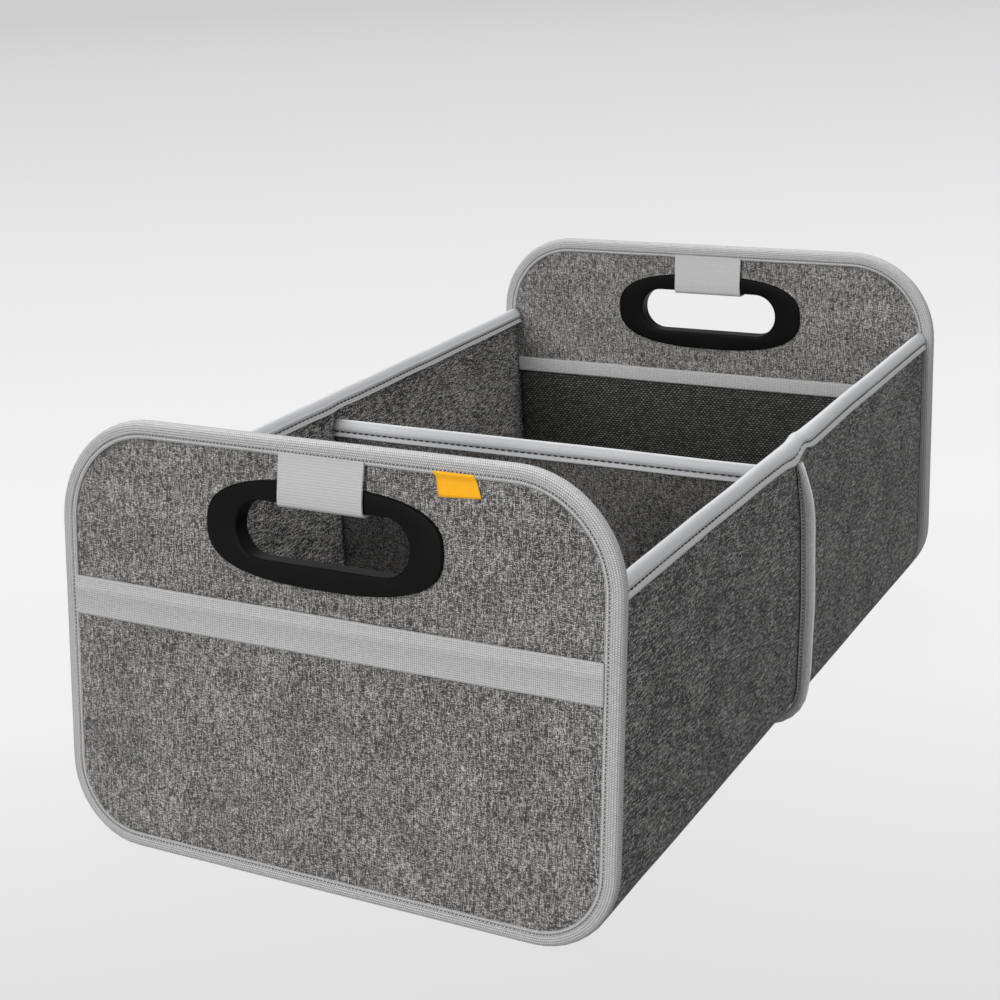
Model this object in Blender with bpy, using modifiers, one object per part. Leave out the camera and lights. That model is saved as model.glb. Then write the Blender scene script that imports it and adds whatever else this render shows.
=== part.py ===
"""Foldable car boot organizer, modelled in metres with +Z up.

Two stiff, cloth-covered end panels stand at the front (-Y) and the rear (+Y).
A padded cloth trough runs between them: two side walls and a floor in one
round-cornered U, made in a front and a rear half that meet at a bound seam.
One divider stands on that seam. A stiff flap covers the floor of each half and
lifts about a line at the foot of its end panel. The organizer stands on the
feet of its two end panels, on the plane z = 0.

Every end panel is modelled in its own frame, an empty at the panel's foot:
x runs across the panel, y points into the organizer, z runs up the panel.
"""

from math import cos, pi, radians, sin, tan

import bmesh
import bpy

# Overall sizes
WIDTH = 0.320                 # across the end panels
LENGTH = 0.5110               # between the middles of the end panels, at their feet
PANEL_HEIGHT = 0.229          # along the panel, foot to top
PANEL_TOP_RADIUS = 0.056      # upper corners of an end panel
PANEL_FOOT_RADIUS = 0.043     # lower corners of an end panel
FRONT_LEAN = radians(7.0)     # the front panel's top leans in towards the middle
REAR_LEAN = radians(0.0)      # the rear panel stands upright
SEAM_OFFSET = 0.004           # the middle seam and the divider, from half length

# Sheets
CLEARANCE = 0.0003            # between any two touching pieces
CLOTH = 0.0012                # cloth with its backing
END_BOARD = 0.0024            # board in an end panel
FOAM = 0.0018                 # foam in the trough
DIVIDER_BOARD = 0.0024        # board in the divider
TAPE = 0.0015                 # folded binding tape, on each side of what it binds

# Bindings
PANEL_BINDING_FACE = 0.0088   # how far the tape reaches over each face of the panel
FOOT_SINK = 0.0006            # how much of the binding is pressed flat on the ground
BINDING_ROUND = 0.0024        # rounding of the folded tape
TOP_BINDING_HEIGHT = 0.0105   # on the walls and on the divider
TOP_TAPE = 0.0018             # their tape, puffier than the panels'

# Trough
WALL_INSET = 0.0055           # outer cloth of the trough, in from the panel's outline
TROUGH_RADIUS = 0.0220        # of the trough's round corners, outside
WALL_DROP = 0.0520            # top of the wall bindings, below the panel's top
FIN_PROUD = 0.0078            # seam binding, out from the outer cloth
FIN_THICKNESS = 0.0044
FIN_TAPER = 0.022             # height over which the fin runs out under the wall binding
FIN_ROUND = 0.0014

# Divider
DIVIDER_DROP = 0.0175         # top of the divider, below the top of the walls

# Hand grip, a pair of plastic ovals clipped together through the panel
GRIP_WIDTH = 0.1345
GRIP_HEIGHT = 0.0500
GRIP_DROP = 0.0465            # middle of the grip, below the panel's top
GRIP_OFFSET = 0.0013          # the grips, to the right of the organizer's middle
SLOT_WIDTH = 0.0990
SLOT_HEIGHT = 0.0290
GRIP_PROUD = 0.0024
GRIP_ROUND = 0.0008
SLEEVE_WALL = 0.0018          # tube through the panel

# Webbing tab over the grip's top bar
TAB_WIDTH = 0.0484
TAB_THICKNESS = 0.0014
TAB_OFFSET = 0.0013           # the tabs, to the right of the organizer's middle
TAB_RUN_IN = 0.0050           # slope between the cloth and the grip's top bar

# Pockets
OUTER_POCKET_DROP = 0.0135    # top of the outer pocket, below the grip
OUTER_BAND_HEIGHT = 0.0205
OUTER_POCKET_CLOTH = 0.0010
INNER_POCKET_DROP = 0.0180    # top of the inner pocket, below the grip
INNER_BAND_HEIGHT = 0.0100
NET = 0.0008
BAND = 0.0012

# Base flaps
FLAP_END_GAP = 0.0200         # bare floor between the tighter flap and the divider
FLAP_SIDE_GAP = 0.0010        # beyond the flat of the floor, to each round corner
FLAP_BOARD = 0.0025
FLAP_CLOTH = 0.0010
FLAP_CORNER = 0.0060

# Bare tag that hangs from the top binding of the front panel
TAG_WIDTH = 0.0225
TAG_HEIGHT = 0.0105
TAG_THICKNESS = 0.0006
TAG_CENTRE = 0.0760           # to the right of the panel's middle

ARC_STEPS = 8                 # straight pieces in a quarter circle
CUTTER_REACH = 0.05           # how far a cutter runs past what it cuts

# Derived sizes
HALF_WIDTH = WIDTH / 2
HALF_PANEL = CLOTH + CLEARANCE + END_BOARD / 2
HALF_BINDING = HALF_PANEL + CLEARANCE + TAPE
TROUGH_END = HALF_BINDING + CLEARANCE
WALL_THICKNESS = 2 * CLOTH + 2 * CLEARANCE + FOAM
LINING_INSET = WALL_INSET + WALL_THICKNESS
FLOOR_TOP = LINING_INSET
TROUGH_CORNER = WALL_INSET + TROUGH_RADIUS  # middle of the corners' arcs, in from the outline
HALF_DIVIDER = CLOTH + CLEARANCE + DIVIDER_BOARD / 2
FLAP_THICKNESS = FLAP_BOARD + 2 * (CLEARANCE + FLAP_CLOTH)
FLAP_BOTTOM = FLOOR_TOP + CLEARANCE
NET_FACE = HALF_PANEL + CLEARANCE + NET
SLEEVE_WIDTH = SLOT_WIDTH + 2 * SLEEVE_WALL
SLEEVE_HEIGHT = SLOT_HEIGHT + 2 * SLEEVE_WALL
GRIP_FACE = HALF_PANEL + CLEARANCE + GRIP_PROUD
TAB_FACE = GRIP_FACE + CLEARANCE + TAB_THICKNESS
# The rear tab reaches further out than the front foot; this keeps the whole centred on y = 0
CENTRE_SHIFT = (TAB_FACE - HALF_BINDING) / 2
FRONT_Y = -LENGTH / 2 - CENTRE_SHIFT
REAR_Y = LENGTH / 2 - CENTRE_SHIFT
SEAM_Y = SEAM_OFFSET - CENTRE_SHIFT
GRIP_CENTRE = PANEL_HEIGHT - GRIP_DROP
GRIP_FOOT = GRIP_CENTRE - GRIP_HEIGHT / 2
SLOT_TOP = GRIP_CENTRE + SLOT_HEIGHT / 2
OUTER_POCKET_TOP = GRIP_FOOT - OUTER_POCKET_DROP
INNER_POCKET_TOP = GRIP_FOOT - INNER_POCKET_DROP
WALL_TOP = PANEL_HEIGHT - WALL_DROP
DIVIDER_TOP = WALL_TOP - DIVIDER_DROP


def clear_scene():
    for thing in list(bpy.data.objects):
        bpy.data.objects.remove(thing, do_unlink=True)


def new_collection(name):
    group = bpy.data.collections.new(name)
    bpy.context.scene.collection.children.link(group)
    return group


def new_material(name, colour, roughness):
    finish = bpy.data.materials.new(name)
    finish.use_nodes = True
    shader = finish.node_tree.nodes["Principled BSDF"]
    shader.inputs["Base Color"].default_value = (*colour, 1.0)
    shader.inputs["Roughness"].default_value = roughness
    shader.inputs["Metallic"].default_value = 0.0
    finish.diffuse_color = (*colour, 1.0)
    return finish


clear_scene()
PARTS = new_collection("car_boot_organizer")
CUTTERS = new_collection("cutters")

MELANGE = new_material("melange_cloth", (0.170, 0.165, 0.160), 0.90)
LINING = new_material("lining_cloth", (0.150, 0.145, 0.140), 0.90)
BINDING = new_material("binding_tape", (0.500, 0.500, 0.500), 0.85)
WEBBING = new_material("webbing", (0.560, 0.560, 0.560), 0.80)
PLASTIC = new_material("black_plastic", (0.011, 0.011, 0.011), 0.45)
NET_CLOTH = new_material("coarse_net", (0.018, 0.018, 0.017), 0.90)
BOARD = new_material("board", (0.550, 0.550, 0.530), 0.60)
FOAM_SHEET = new_material("foam_sheet", (0.750, 0.750, 0.720), 0.95)
TAG = new_material("tag_cloth", (1.000, 0.450, 0.015), 0.75)


def arc(centre_x, centre_z, radius, start, end):
    """Points of a circular arc, both ends included; a single point where it has no radius."""
    if radius <= 0:
        return [(centre_x, centre_z)]
    angles = [start + (end - start) * step / ARC_STEPS for step in range(ARC_STEPS + 1)]
    return [(centre_x + radius * cos(a), centre_z + radius * sin(a)) for a in angles]


def rounded_outline(half_width, bottom, top, foot_radius, top_radius):
    """Closed outline of a plate, symmetric about x = 0, with its own radii below and above."""
    x_foot = half_width - foot_radius
    x_top = half_width - top_radius
    return (arc(x_foot, bottom + foot_radius, foot_radius, -pi / 2, 0)
            + arc(x_top, top - top_radius, top_radius, 0, pi / 2)
            + arc(-x_top, top - top_radius, top_radius, pi / 2, pi)
            + arc(-x_foot, bottom + foot_radius, foot_radius, pi, 3 * pi / 2))


def panel_outline(inset, top=None):
    """The end panel's outline, moved in by inset; a top makes it end there in square corners."""
    foot_radius = PANEL_FOOT_RADIUS - inset
    if top is None:
        top_radius = PANEL_TOP_RADIUS - inset
        top = PANEL_HEIGHT - inset
    else:
        top_radius = 0
    return rounded_outline(HALF_WIDTH - inset, inset - FOOT_SINK, top, foot_radius, top_radius)


def oval(width, height, middle, centre_z):
    """Closed outline with half-round ends."""
    end = height / 2
    right = middle + width / 2 - end
    left = middle - width / 2 + end
    return (arc(right, centre_z, end, -pi / 2, 0) + arc(right, centre_z, end, 0, pi / 2)[1:]
            + arc(left, centre_z, end, pi / 2, pi) + arc(left, centre_z, end, pi, 3 * pi / 2)[1:])


def trough_path(inset, top):
    """Open path down the left wall, across the floor and up the right wall."""
    radius = TROUGH_CORNER - inset
    side = HALF_WIDTH - inset
    left = arc(-side + radius, inset + radius, radius, pi, 3 * pi / 2)
    right = arc(side - radius, inset + radius, radius, -pi / 2, 0)
    return [(-side, top)] + left + right + [(side, top)]


def layer_outline(outer_inset, thickness, top):
    """Closed U-shaped outline of one layer of the trough."""
    return trough_path(outer_inset, top) + trough_path(outer_inset + thickness, top)[::-1]


def add_object(name, mesh, finish, parent=None, group=None):
    thing = bpy.data.objects.new(name, mesh)
    (group or PARTS).objects.link(thing)
    if finish:
        mesh.materials.append(finish)
    if parent:
        thing.parent = parent
    return thing


def plate(name, loops, y_from, y_to, finish, parent=None, group=None):
    """A plate whose outline lies in XZ, holes included, running from y_from to y_to.

    y_from and y_to are numbers, or functions that give y for a height z, for a
    plate that ends on a leaning panel.
    """
    work = bmesh.new()
    for loop in loops:
        corners = [work.verts.new((x, 0, z)) for x, z in loop]
        for one, other in zip(corners, corners[1:] + corners[:1]):
            work.edges.new((one, other))
    bmesh.ops.triangle_fill(work, edges=work.edges[:], use_beauty=True)
    near = work.verts[:]
    grown = bmesh.ops.extrude_face_region(work, geom=work.faces[:])
    far = [item for item in grown["geom"] if isinstance(item, bmesh.types.BMVert)]
    for corners, place in ((near, y_from), (far, y_to)):
        for corner in corners:
            corner.co.y = place(corner.co.z) if callable(place) else place
    bmesh.ops.recalc_face_normals(work, faces=work.faces[:])
    mesh = bpy.data.meshes.new(name)
    work.to_mesh(mesh)
    work.free()
    return add_object(name, mesh, finish, parent, group)


def as_cutter(thing):
    thing.hide_render = True
    thing.display_type = "WIRE"
    return thing


def round_edges(thing, width, segments=2):
    bevel = thing.modifiers.new("round", "BEVEL")
    bevel.width = width
    bevel.segments = segments
    bevel.limit_method = "ANGLE"
    bevel.angle_limit = radians(40)


def cut(thing, cutter, operation="DIFFERENCE"):
    boolean = thing.modifiers.new(cutter.name, "BOOLEAN")
    boolean.operation = operation
    boolean.solver = "EXACT"
    boolean.object = cutter


def shade_round(thing):
    thing.data.shade_smooth()
    thing.data.set_sharp_from_angle(angle=radians(35))


def new_empty(name, location, rotation):
    frame = bpy.data.objects.new(name, None)
    PARTS.objects.link(frame)
    frame.location = location
    frame.rotation_euler = rotation
    return frame


# Frames of the two end panels; the rear one is turned to look back at the front one
FRONT_FRAME = new_empty("front_end_frame", (0, FRONT_Y, 0), (-FRONT_LEAN, 0, 0))
REAR_FRAME = new_empty("rear_end_frame", (0, REAR_Y, 0), (-REAR_LEAN, 0, pi))


def front_plane(depth):
    """World y, for a height z, of the plane that lies depth behind the front panel's middle."""
    return lambda z: FRONT_Y + depth / cos(FRONT_LEAN) + z * tan(FRONT_LEAN)


def rear_plane(depth):
    """World y, for a height z, of the plane that lies depth before the rear panel's middle."""
    return lambda z: REAR_Y - depth / cos(REAR_LEAN) - z * tan(REAR_LEAN)


# The ground, which presses the binding's foot and the fin flat
bpy.ops.mesh.primitive_cube_add(size=1, location=(0, 0, -0.5))
GROUND = bpy.context.active_object
GROUND.name = "ground_cutter"
for group in list(GROUND.users_collection):
    group.objects.unlink(GROUND)
CUTTERS.objects.link(GROUND)
as_cutter(GROUND)


# End panels

def panel_layers(end, frame, right):
    """Outer cloth, board and inner cloth, each with the oval hole of the hand grip."""
    hole = oval(SLEEVE_WIDTH + 2 * CLEARANCE, SLEEVE_HEIGHT + 2 * CLEARANCE,
                right * GRIP_OFFSET, GRIP_CENTRE)
    loops = [panel_outline(TAPE + CLEARANCE), hole]
    half_board = END_BOARD / 2
    plate(end + "_outer_cloth", loops, -HALF_PANEL, -HALF_PANEL + CLOTH, MELANGE, frame)
    plate(end + "_board", loops, -half_board, half_board, BOARD, frame)
    plate(end + "_inner_cloth", loops, HALF_PANEL - CLOTH, HALF_PANEL, MELANGE, frame)


def panel_binding(end, frame):
    """Folded tape round the panel: a round-edged plate, less its channel and its window."""
    body = plate(end + "_binding", [panel_outline(0)], -HALF_BINDING, HALF_BINDING, BINDING, frame)
    round_edges(body, BINDING_ROUND, 3)
    channel_half = HALF_PANEL + CLEARANCE
    channel = plate(end + "_channel_cutter", [panel_outline(TAPE)], -channel_half, channel_half,
                    None, frame, CUTTERS)
    window = plate(end + "_window_cutter", [panel_outline(PANEL_BINDING_FACE)],
                   -CUTTER_REACH, CUTTER_REACH, None, frame, CUTTERS)
    for cutter in (as_cutter(channel), as_cutter(window), GROUND):
        cut(body, cutter)
    shade_round(body)


def hand_grip(end, frame, right):
    """Two plastic ovals: the outer one carries the sleeve, the inner one clips over it."""
    middle = right * GRIP_OFFSET
    rim = oval(GRIP_WIDTH, GRIP_HEIGHT, middle, GRIP_CENTRE)
    slot = oval(SLOT_WIDTH, SLOT_HEIGHT, middle, GRIP_CENTRE)
    seat = HALF_PANEL + CLEARANCE
    outer = plate(end + "_grip_outer", [rim, slot], -GRIP_FACE, -seat, PLASTIC, frame)
    round_edges(outer, GRIP_ROUND)
    tube = oval(SLEEVE_WIDTH, SLEEVE_HEIGHT, middle, GRIP_CENTRE)
    sleeve = plate(end + "_sleeve_union", [tube, slot], -seat - GRIP_ROUND, seat,
                   None, frame, CUTTERS)
    cut(outer, as_cutter(sleeve), "UNION")
    shade_round(outer)
    inner = plate(end + "_grip_inner", [rim, slot], seat + CLEARANCE, GRIP_FACE, PLASTIC, frame)
    round_edges(inner, GRIP_ROUND)
    shade_round(inner)


def grip_tab(end, frame, right):
    """Webbing sewn under the top binding on both faces, looped through the slot over the bar."""
    stand_off = CLEARANCE + TAB_THICKNESS / 2
    on_cloth = HALF_PANEL + stand_off
    on_grip = GRIP_FACE + stand_off
    grip_top = GRIP_CENTRE + GRIP_HEIGHT / 2
    start = PANEL_HEIGHT - PANEL_BINDING_FACE - CLEARANCE
    under_bar = SLOT_TOP - stand_off
    bend = grip_top + stand_off
    run_in = min(bend + TAB_RUN_IN, start - CLEARANCE)
    outside = [(-on_cloth, start), (-on_cloth, run_in), (-on_grip, bend), (-on_grip, under_bar)]
    path = outside + [(-depth, height) for depth, height in outside[::-1]]
    work = bmesh.new()
    side = right * TAB_OFFSET - TAB_WIDTH / 2
    corners = [work.verts.new((side, y, z)) for y, z in path]
    edges = [work.edges.new(pair) for pair in zip(corners, corners[1:])]
    grown = bmesh.ops.extrude_edge_only(work, edges=edges)
    moved = [item for item in grown["geom"] if isinstance(item, bmesh.types.BMVert)]
    bmesh.ops.translate(work, verts=moved, vec=(TAB_WIDTH, 0, 0))
    mesh = bpy.data.meshes.new(end + "_grip_tab")
    work.to_mesh(mesh)
    work.free()
    tab = add_object(end + "_grip_tab", mesh, WEBBING, frame)
    thick = tab.modifiers.new("thickness", "SOLIDIFY")
    thick.thickness = TAB_THICKNESS
    thick.offset = 0
    thick.use_even_offset = True


def pockets(end, frame):
    """A flat cloth pocket outside and a net pocket inside, each with a band along its top."""
    seat = HALF_PANEL + CLEARANCE
    outer_face = seat + OUTER_POCKET_CLOTH
    edge = PANEL_BINDING_FACE + CLEARANCE
    band_half = HALF_WIDTH - edge
    plate(end + "_outer_pocket", [panel_outline(edge, OUTER_POCKET_TOP)],
          -outer_face, -seat, MELANGE, frame)
    band_seat = outer_face + CLEARANCE
    plate(end + "_outer_band",
          [rounded_outline(band_half, OUTER_POCKET_TOP - OUTER_BAND_HEIGHT, OUTER_POCKET_TOP, 0, 0)],
          -band_seat - BAND, -band_seat, WEBBING, frame)
    # Inside, net and band end at the lining of the trough
    net_edge = LINING_INSET + CLEARANCE
    net_half = HALF_WIDTH - net_edge
    plate(end + "_net_pocket", [panel_outline(net_edge, INNER_POCKET_TOP)],
          seat, NET_FACE, NET_CLOTH, frame)
    net_seat = NET_FACE + CLEARANCE
    plate(end + "_net_band",
          [rounded_outline(net_half, INNER_POCKET_TOP - INNER_BAND_HEIGHT, INNER_POCKET_TOP, 0, 0)],
          net_seat, net_seat + BAND, WEBBING, frame)


# The organizer's right is +x in the front panel's frame and -x in the rear panel's
for END, FRAME, RIGHT in (("front", FRONT_FRAME, 1), ("rear", REAR_FRAME, -1)):
    panel_layers(END, FRAME, RIGHT)
    panel_binding(END, FRAME)
    hand_grip(END, FRAME, RIGHT)
    grip_tab(END, FRAME, RIGHT)
    pockets(END, FRAME)


# Trough: outer cloth, foam and lining, in a front and a rear half

LAYER_TOP = WALL_TOP - TOP_TAPE - CLEARANCE
LAYERS = (("trough_cloth", WALL_INSET, CLOTH, MELANGE),
          ("foam", WALL_INSET + CLOTH + CLEARANCE, FOAM, FOAM_SHEET),
          ("lining", WALL_INSET + CLOTH + FOAM + 2 * CLEARANCE, CLOTH, LINING))
for LAYER, INSET, THICKNESS, FINISH in LAYERS:
    OUTLINE = layer_outline(INSET, THICKNESS, LAYER_TOP)
    plate("front_" + LAYER, [OUTLINE], front_plane(TROUGH_END), SEAM_Y - CLEARANCE / 2, FINISH)
    plate("rear_" + LAYER, [OUTLINE], SEAM_Y + CLEARANCE / 2, rear_plane(TROUGH_END), FINISH)


def fold_outline(middle, half_inside, top):
    """Section of a tape folded over an edge, open downwards: centre line, half width of what
    it holds, and top."""
    outside = half_inside + CLEARANCE + TOP_TAPE
    inside = half_inside + CLEARANCE
    foot = top - TOP_BINDING_HEIGHT
    crown = arc(middle + outside - BINDING_ROUND, top - BINDING_ROUND, BINDING_ROUND, 0, pi / 2)
    crown += arc(middle - outside + BINDING_ROUND, top - BINDING_ROUND, BINDING_ROUND, pi / 2, pi)
    return ([(middle + inside, foot), (middle + outside, foot)] + crown
            + [(middle - outside, foot), (middle - inside, foot),
               (middle - inside, top - TOP_TAPE), (middle + inside, top - TOP_TAPE)])


WALL_MIDDLE = HALF_WIDTH - WALL_INSET - WALL_THICKNESS / 2
for SIDE, MIDDLE in (("right", WALL_MIDDLE), ("left", -WALL_MIDDLE)):
    shade_round(plate(SIDE + "_wall_binding", [fold_outline(MIDDLE, WALL_THICKNESS / 2, WALL_TOP)],
                      front_plane(TROUGH_END), rear_plane(TROUGH_END), BINDING))


def seam_fin():
    """Bound seam that runs down one wall, under the floor and up the other wall."""
    root = trough_path(WALL_INSET - CLEARANCE, WALL_TOP - TOP_BINDING_HEIGHT - CLEARANCE)
    crest = trough_path(WALL_INSET - CLEARANCE - FIN_PROUD,
                        WALL_TOP - TOP_BINDING_HEIGHT - CLEARANCE - FIN_TAPER)
    fin = plate("seam_fin", [root + crest[::-1]],
                SEAM_Y - FIN_THICKNESS / 2, SEAM_Y + FIN_THICKNESS / 2, BINDING)
    round_edges(fin, FIN_ROUND)
    cut(fin, GROUND)
    shade_round(fin)


seam_fin()


# Divider on the middle seam

DIVIDER_FOOT = FLOOR_TOP + CLEARANCE
DIVIDER_OUTLINE = rounded_outline(HALF_WIDTH - LINING_INSET - CLEARANCE, DIVIDER_FOOT,
                                  DIVIDER_TOP - TOP_TAPE - CLEARANCE,
                                  TROUGH_CORNER - LINING_INSET - CLEARANCE, 0)
plate("divider_front_cloth", [DIVIDER_OUTLINE], SEAM_Y - HALF_DIVIDER, SEAM_Y - HALF_DIVIDER + CLOTH, LINING)
plate("divider_board", [DIVIDER_OUTLINE], SEAM_Y - DIVIDER_BOARD / 2, SEAM_Y + DIVIDER_BOARD / 2, BOARD)
plate("divider_rear_cloth", [DIVIDER_OUTLINE], SEAM_Y + HALF_DIVIDER - CLOTH, SEAM_Y + HALF_DIVIDER, LINING)

# The same folded section as on the walls, run across the organizer by a quarter turn
DIVIDER_HALF_WIDTH = HALF_WIDTH - LINING_INSET - CLEARANCE
DIVIDER_BINDING = plate("divider_binding", [fold_outline(0, HALF_DIVIDER, DIVIDER_TOP)],
                        -DIVIDER_HALF_WIDTH, DIVIDER_HALF_WIDTH, BINDING)
DIVIDER_BINDING.location = (0, SEAM_Y, 0)
DIVIDER_BINDING.rotation_euler = (0, 0, pi / 2)
shade_round(DIVIDER_BINDING)


# Base flaps: each is a board in an open-ended sleeve, hinged along its upper edge at the panel

FLAP_HALF_WIDTH = HALF_WIDTH - TROUGH_CORNER + FLAP_SIDE_GAP
FLAP_TOP = FLAP_BOTTOM + FLAP_THICKNESS
HINGE_DEPTH = max(TROUGH_END, NET_FACE + CLEARANCE)
FRONT_HINGE_Y = front_plane(HINGE_DEPTH)(FLAP_TOP)
REAR_HINGE_Y = rear_plane(HINGE_DEPTH)(FLAP_TOP)
FRONT_ROOM = SEAM_Y - HALF_DIVIDER - FRONT_HINGE_Y
REAR_ROOM = REAR_HINGE_Y - SEAM_Y - HALF_DIVIDER
FLAP_LENGTH = min(FRONT_ROOM, REAR_ROOM) - FLAP_END_GAP


def base_flap(end, hinge_y, turn):
    """The hinge empty lies on the joint axis; the flap runs along its +y, under its origin."""
    hinge = new_empty(end + "_flap_hinge", (0, hinge_y, FLAP_TOP), (0, 0, turn))
    corners = rounded_outline(FLAP_HALF_WIDTH, 0, FLAP_LENGTH, FLAP_CORNER, FLAP_CORNER)
    sleeve = plate(end + "_flap_sleeve", [corners], 0, FLAP_THICKNESS, LINING, hinge)
    room = FLAP_CLOTH + CLEARANCE
    pocket_corners = rounded_outline(FLAP_HALF_WIDTH - FLAP_CLOTH, FLAP_CLOTH,
                                     FLAP_LENGTH + CUTTER_REACH, FLAP_CORNER - FLAP_CLOTH, 0)
    pocket = plate(end + "_flap_pocket_cutter", [pocket_corners], FLAP_CLOTH,
                   FLAP_THICKNESS - FLAP_CLOTH, None, hinge, CUTTERS)
    board_corners = rounded_outline(FLAP_HALF_WIDTH - room, room, FLAP_LENGTH - FLAP_CORNER,
                                    FLAP_CORNER - room, 0)
    board = plate(end + "_flap_board", [board_corners], room, FLAP_THICKNESS - room, BOARD, hinge)
    # The outlines stand in XZ; laid down, their z runs along the flap and their y goes down
    for thing in (sleeve, pocket, board):
        thing.rotation_euler = (-pi / 2, 0, 0)
    cut(sleeve, as_cutter(pocket))


base_flap("front", FRONT_HINGE_Y, 0)
base_flap("rear", REAR_HINGE_Y, pi)


# Bare tag on the front panel, hung from the top binding

TAG_TOP = PANEL_HEIGHT - PANEL_BINDING_FACE - CLEARANCE
TAG_SEAT = HALF_PANEL + CLEARANCE
TAG_PLATE = plate("yellow_tag", [rounded_outline(TAG_WIDTH / 2, TAG_TOP - TAG_HEIGHT, TAG_TOP, 0, 0)],
                  -TAG_SEAT - TAG_THICKNESS, -TAG_SEAT, TAG, FRONT_FRAME)
TAG_PLATE.location = (TAG_CENTRE, 0, 0)
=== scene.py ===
"""Looks of the foldable car boot organizer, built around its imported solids.

The frame has +X to the right as seen from the front panel, +Y to the rear and
+Z up. The organizer stands on z = 0. Sizes are in metres.
"""
from math import acos, atan2, ceil, copysign, cos, exp, hypot, pi, radians, sin, tan

import bmesh
import bpy
from mathutils import Matrix, Vector, noise


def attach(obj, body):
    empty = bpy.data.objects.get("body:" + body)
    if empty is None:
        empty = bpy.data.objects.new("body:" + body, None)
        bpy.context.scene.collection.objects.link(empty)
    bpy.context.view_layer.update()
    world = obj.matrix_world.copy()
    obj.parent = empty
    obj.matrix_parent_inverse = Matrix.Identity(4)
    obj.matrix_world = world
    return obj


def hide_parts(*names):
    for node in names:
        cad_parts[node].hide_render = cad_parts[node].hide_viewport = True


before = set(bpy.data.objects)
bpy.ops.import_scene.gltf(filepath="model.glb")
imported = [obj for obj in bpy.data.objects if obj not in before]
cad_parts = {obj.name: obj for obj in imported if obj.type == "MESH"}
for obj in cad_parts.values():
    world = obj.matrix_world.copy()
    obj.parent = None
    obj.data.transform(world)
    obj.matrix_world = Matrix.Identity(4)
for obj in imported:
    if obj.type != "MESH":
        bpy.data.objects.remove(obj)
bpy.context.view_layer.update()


# Stiff boards and foam. The end panels, the divider and the two base flaps are each stiffened
# by a plain polypropylene board, and the trough by a thin sheet of foam. They are the packed
# solids themselves, inside the cloth.

def new_finish(name, colour, roughness):
    """A material with its shader's own colour and roughness set."""
    finish = bpy.data.materials.new(name)
    finish.use_nodes = True
    shader = finish.node_tree.nodes["Principled BSDF"]
    shader.inputs["Base Color"].default_value = (*colour, 1.0)
    shader.inputs["Roughness"].default_value = roughness
    shader.inputs["Specular IOR Level"].default_value = 0.3
    return finish


def node(finish, kind, **settings):
    """A new shader node; a setting whose name isn't a property of the node is an input."""
    made = finish.node_tree.nodes.new("ShaderNode" + kind)
    for key, value in settings.items():
        if hasattr(made, key):
            setattr(made, key, value)
        else:
            made.inputs[key.replace("_", " ")].default_value = value
    return made


def wire(finish, *pairs):
    for source, target in pairs:
        finish.node_tree.links.new(source, target)


def maths(finish, operation, first, second=None, third=None):
    """One Math node fed by sockets or plain numbers; gives its result."""
    made = node(finish, "Math", operation=operation)
    for slot_number, value in enumerate((first, second, third)):
        if value is None:
            continue
        if isinstance(value, (int, float)):
            made.inputs[slot_number].default_value = value
        else:
            wire(finish, (value, made.inputs[slot_number]))
    return made.outputs[0]


def mottled(finish, colour, darker, scale, bump):
    """Colour that wanders between two shades, with a fine grain; read from Object coordinates."""
    place = node(finish, "TexCoord")
    grain = node(finish, "TexNoise", Scale=scale, Detail=3.0)
    shades = node(finish, "ValToRGB")
    shades.color_ramp.elements[0].position = 0.35
    shades.color_ramp.elements[0].color = (*darker, 1)
    shades.color_ramp.elements[1].position = 0.65
    shades.color_ramp.elements[1].color = (*colour, 1)
    relief = node(finish, "Bump", Strength=bump, Distance=0.0002)
    shader = finish.node_tree.nodes["Principled BSDF"]
    wire(finish, (place.outputs["Object"], grain.inputs["Vector"]),
         (grain.outputs["Fac"], shades.inputs["Fac"]),
         (shades.outputs["Color"], shader.inputs["Base Color"]),
         (grain.outputs["Fac"], relief.inputs["Height"]),
         (relief.outputs["Normal"], shader.inputs["Normal"]))
    return finish


BOARD_FINISH = mottled(new_finish("board_plastic", (0.55, 0.55, 0.53), 0.6),
                       (0.56, 0.56, 0.54), (0.50, 0.50, 0.48), 900.0, 0.2)
FOAM_FINISH = mottled(new_finish("foam_sheet", (0.75, 0.75, 0.72), 0.95),
                      (0.77, 0.77, 0.74), (0.66, 0.66, 0.63), 1800.0, 0.5)
for carried in ("front_board", "rear_board", "divider_board", "front_flap_board", "rear_flap_board",
                "front_foam", "rear_foam"):
    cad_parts[carried].data.materials.clear()
    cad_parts[carried].data.materials.append(
        FOAM_FINISH if carried.endswith("foam") else BOARD_FINISH)


# Cloth of the end panels. Both faces of each panel are a grey melange polyester cloth, drawn
# tight over the board, tucked under the bound edge, and cut out round the hand grip.

WIDTH = 0.320
PANEL_HEIGHT = 0.229
TOP_RADIUS = 0.056
FOOT_RADIUS = 0.043
FOOT_SINK = 0.0006
FRONT_LEAN = radians(7.0)
FRONT_Y = -0.2568
REAR_Y = 0.2542
CLEARANCE = 0.0003
CLOTH = 0.0012
PANEL_FACE = 0.0027           # cloth's outer face, from the middle of the panel
TAPE = 0.0015
HANDLE_ASIDE = 0.0013
GRIP_MIDDLE = 0.1825
SLEEVE_WIDTH = 0.1026
SLEEVE_HEIGHT = 0.0326
FRONT_PLACE = Matrix.Translation((0, FRONT_Y, 0)) @ Matrix.Rotation(-FRONT_LEAN, 4, "X")
REAR_PLACE = Matrix.Translation((0, REAR_Y, 0)) @ Matrix.Rotation(pi, 4, "Z")
# End, place of the panel, and which way its own x runs in the organizer
ENDS = (("front", FRONT_PLACE, 1), ("rear", REAR_PLACE, -1))


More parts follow.
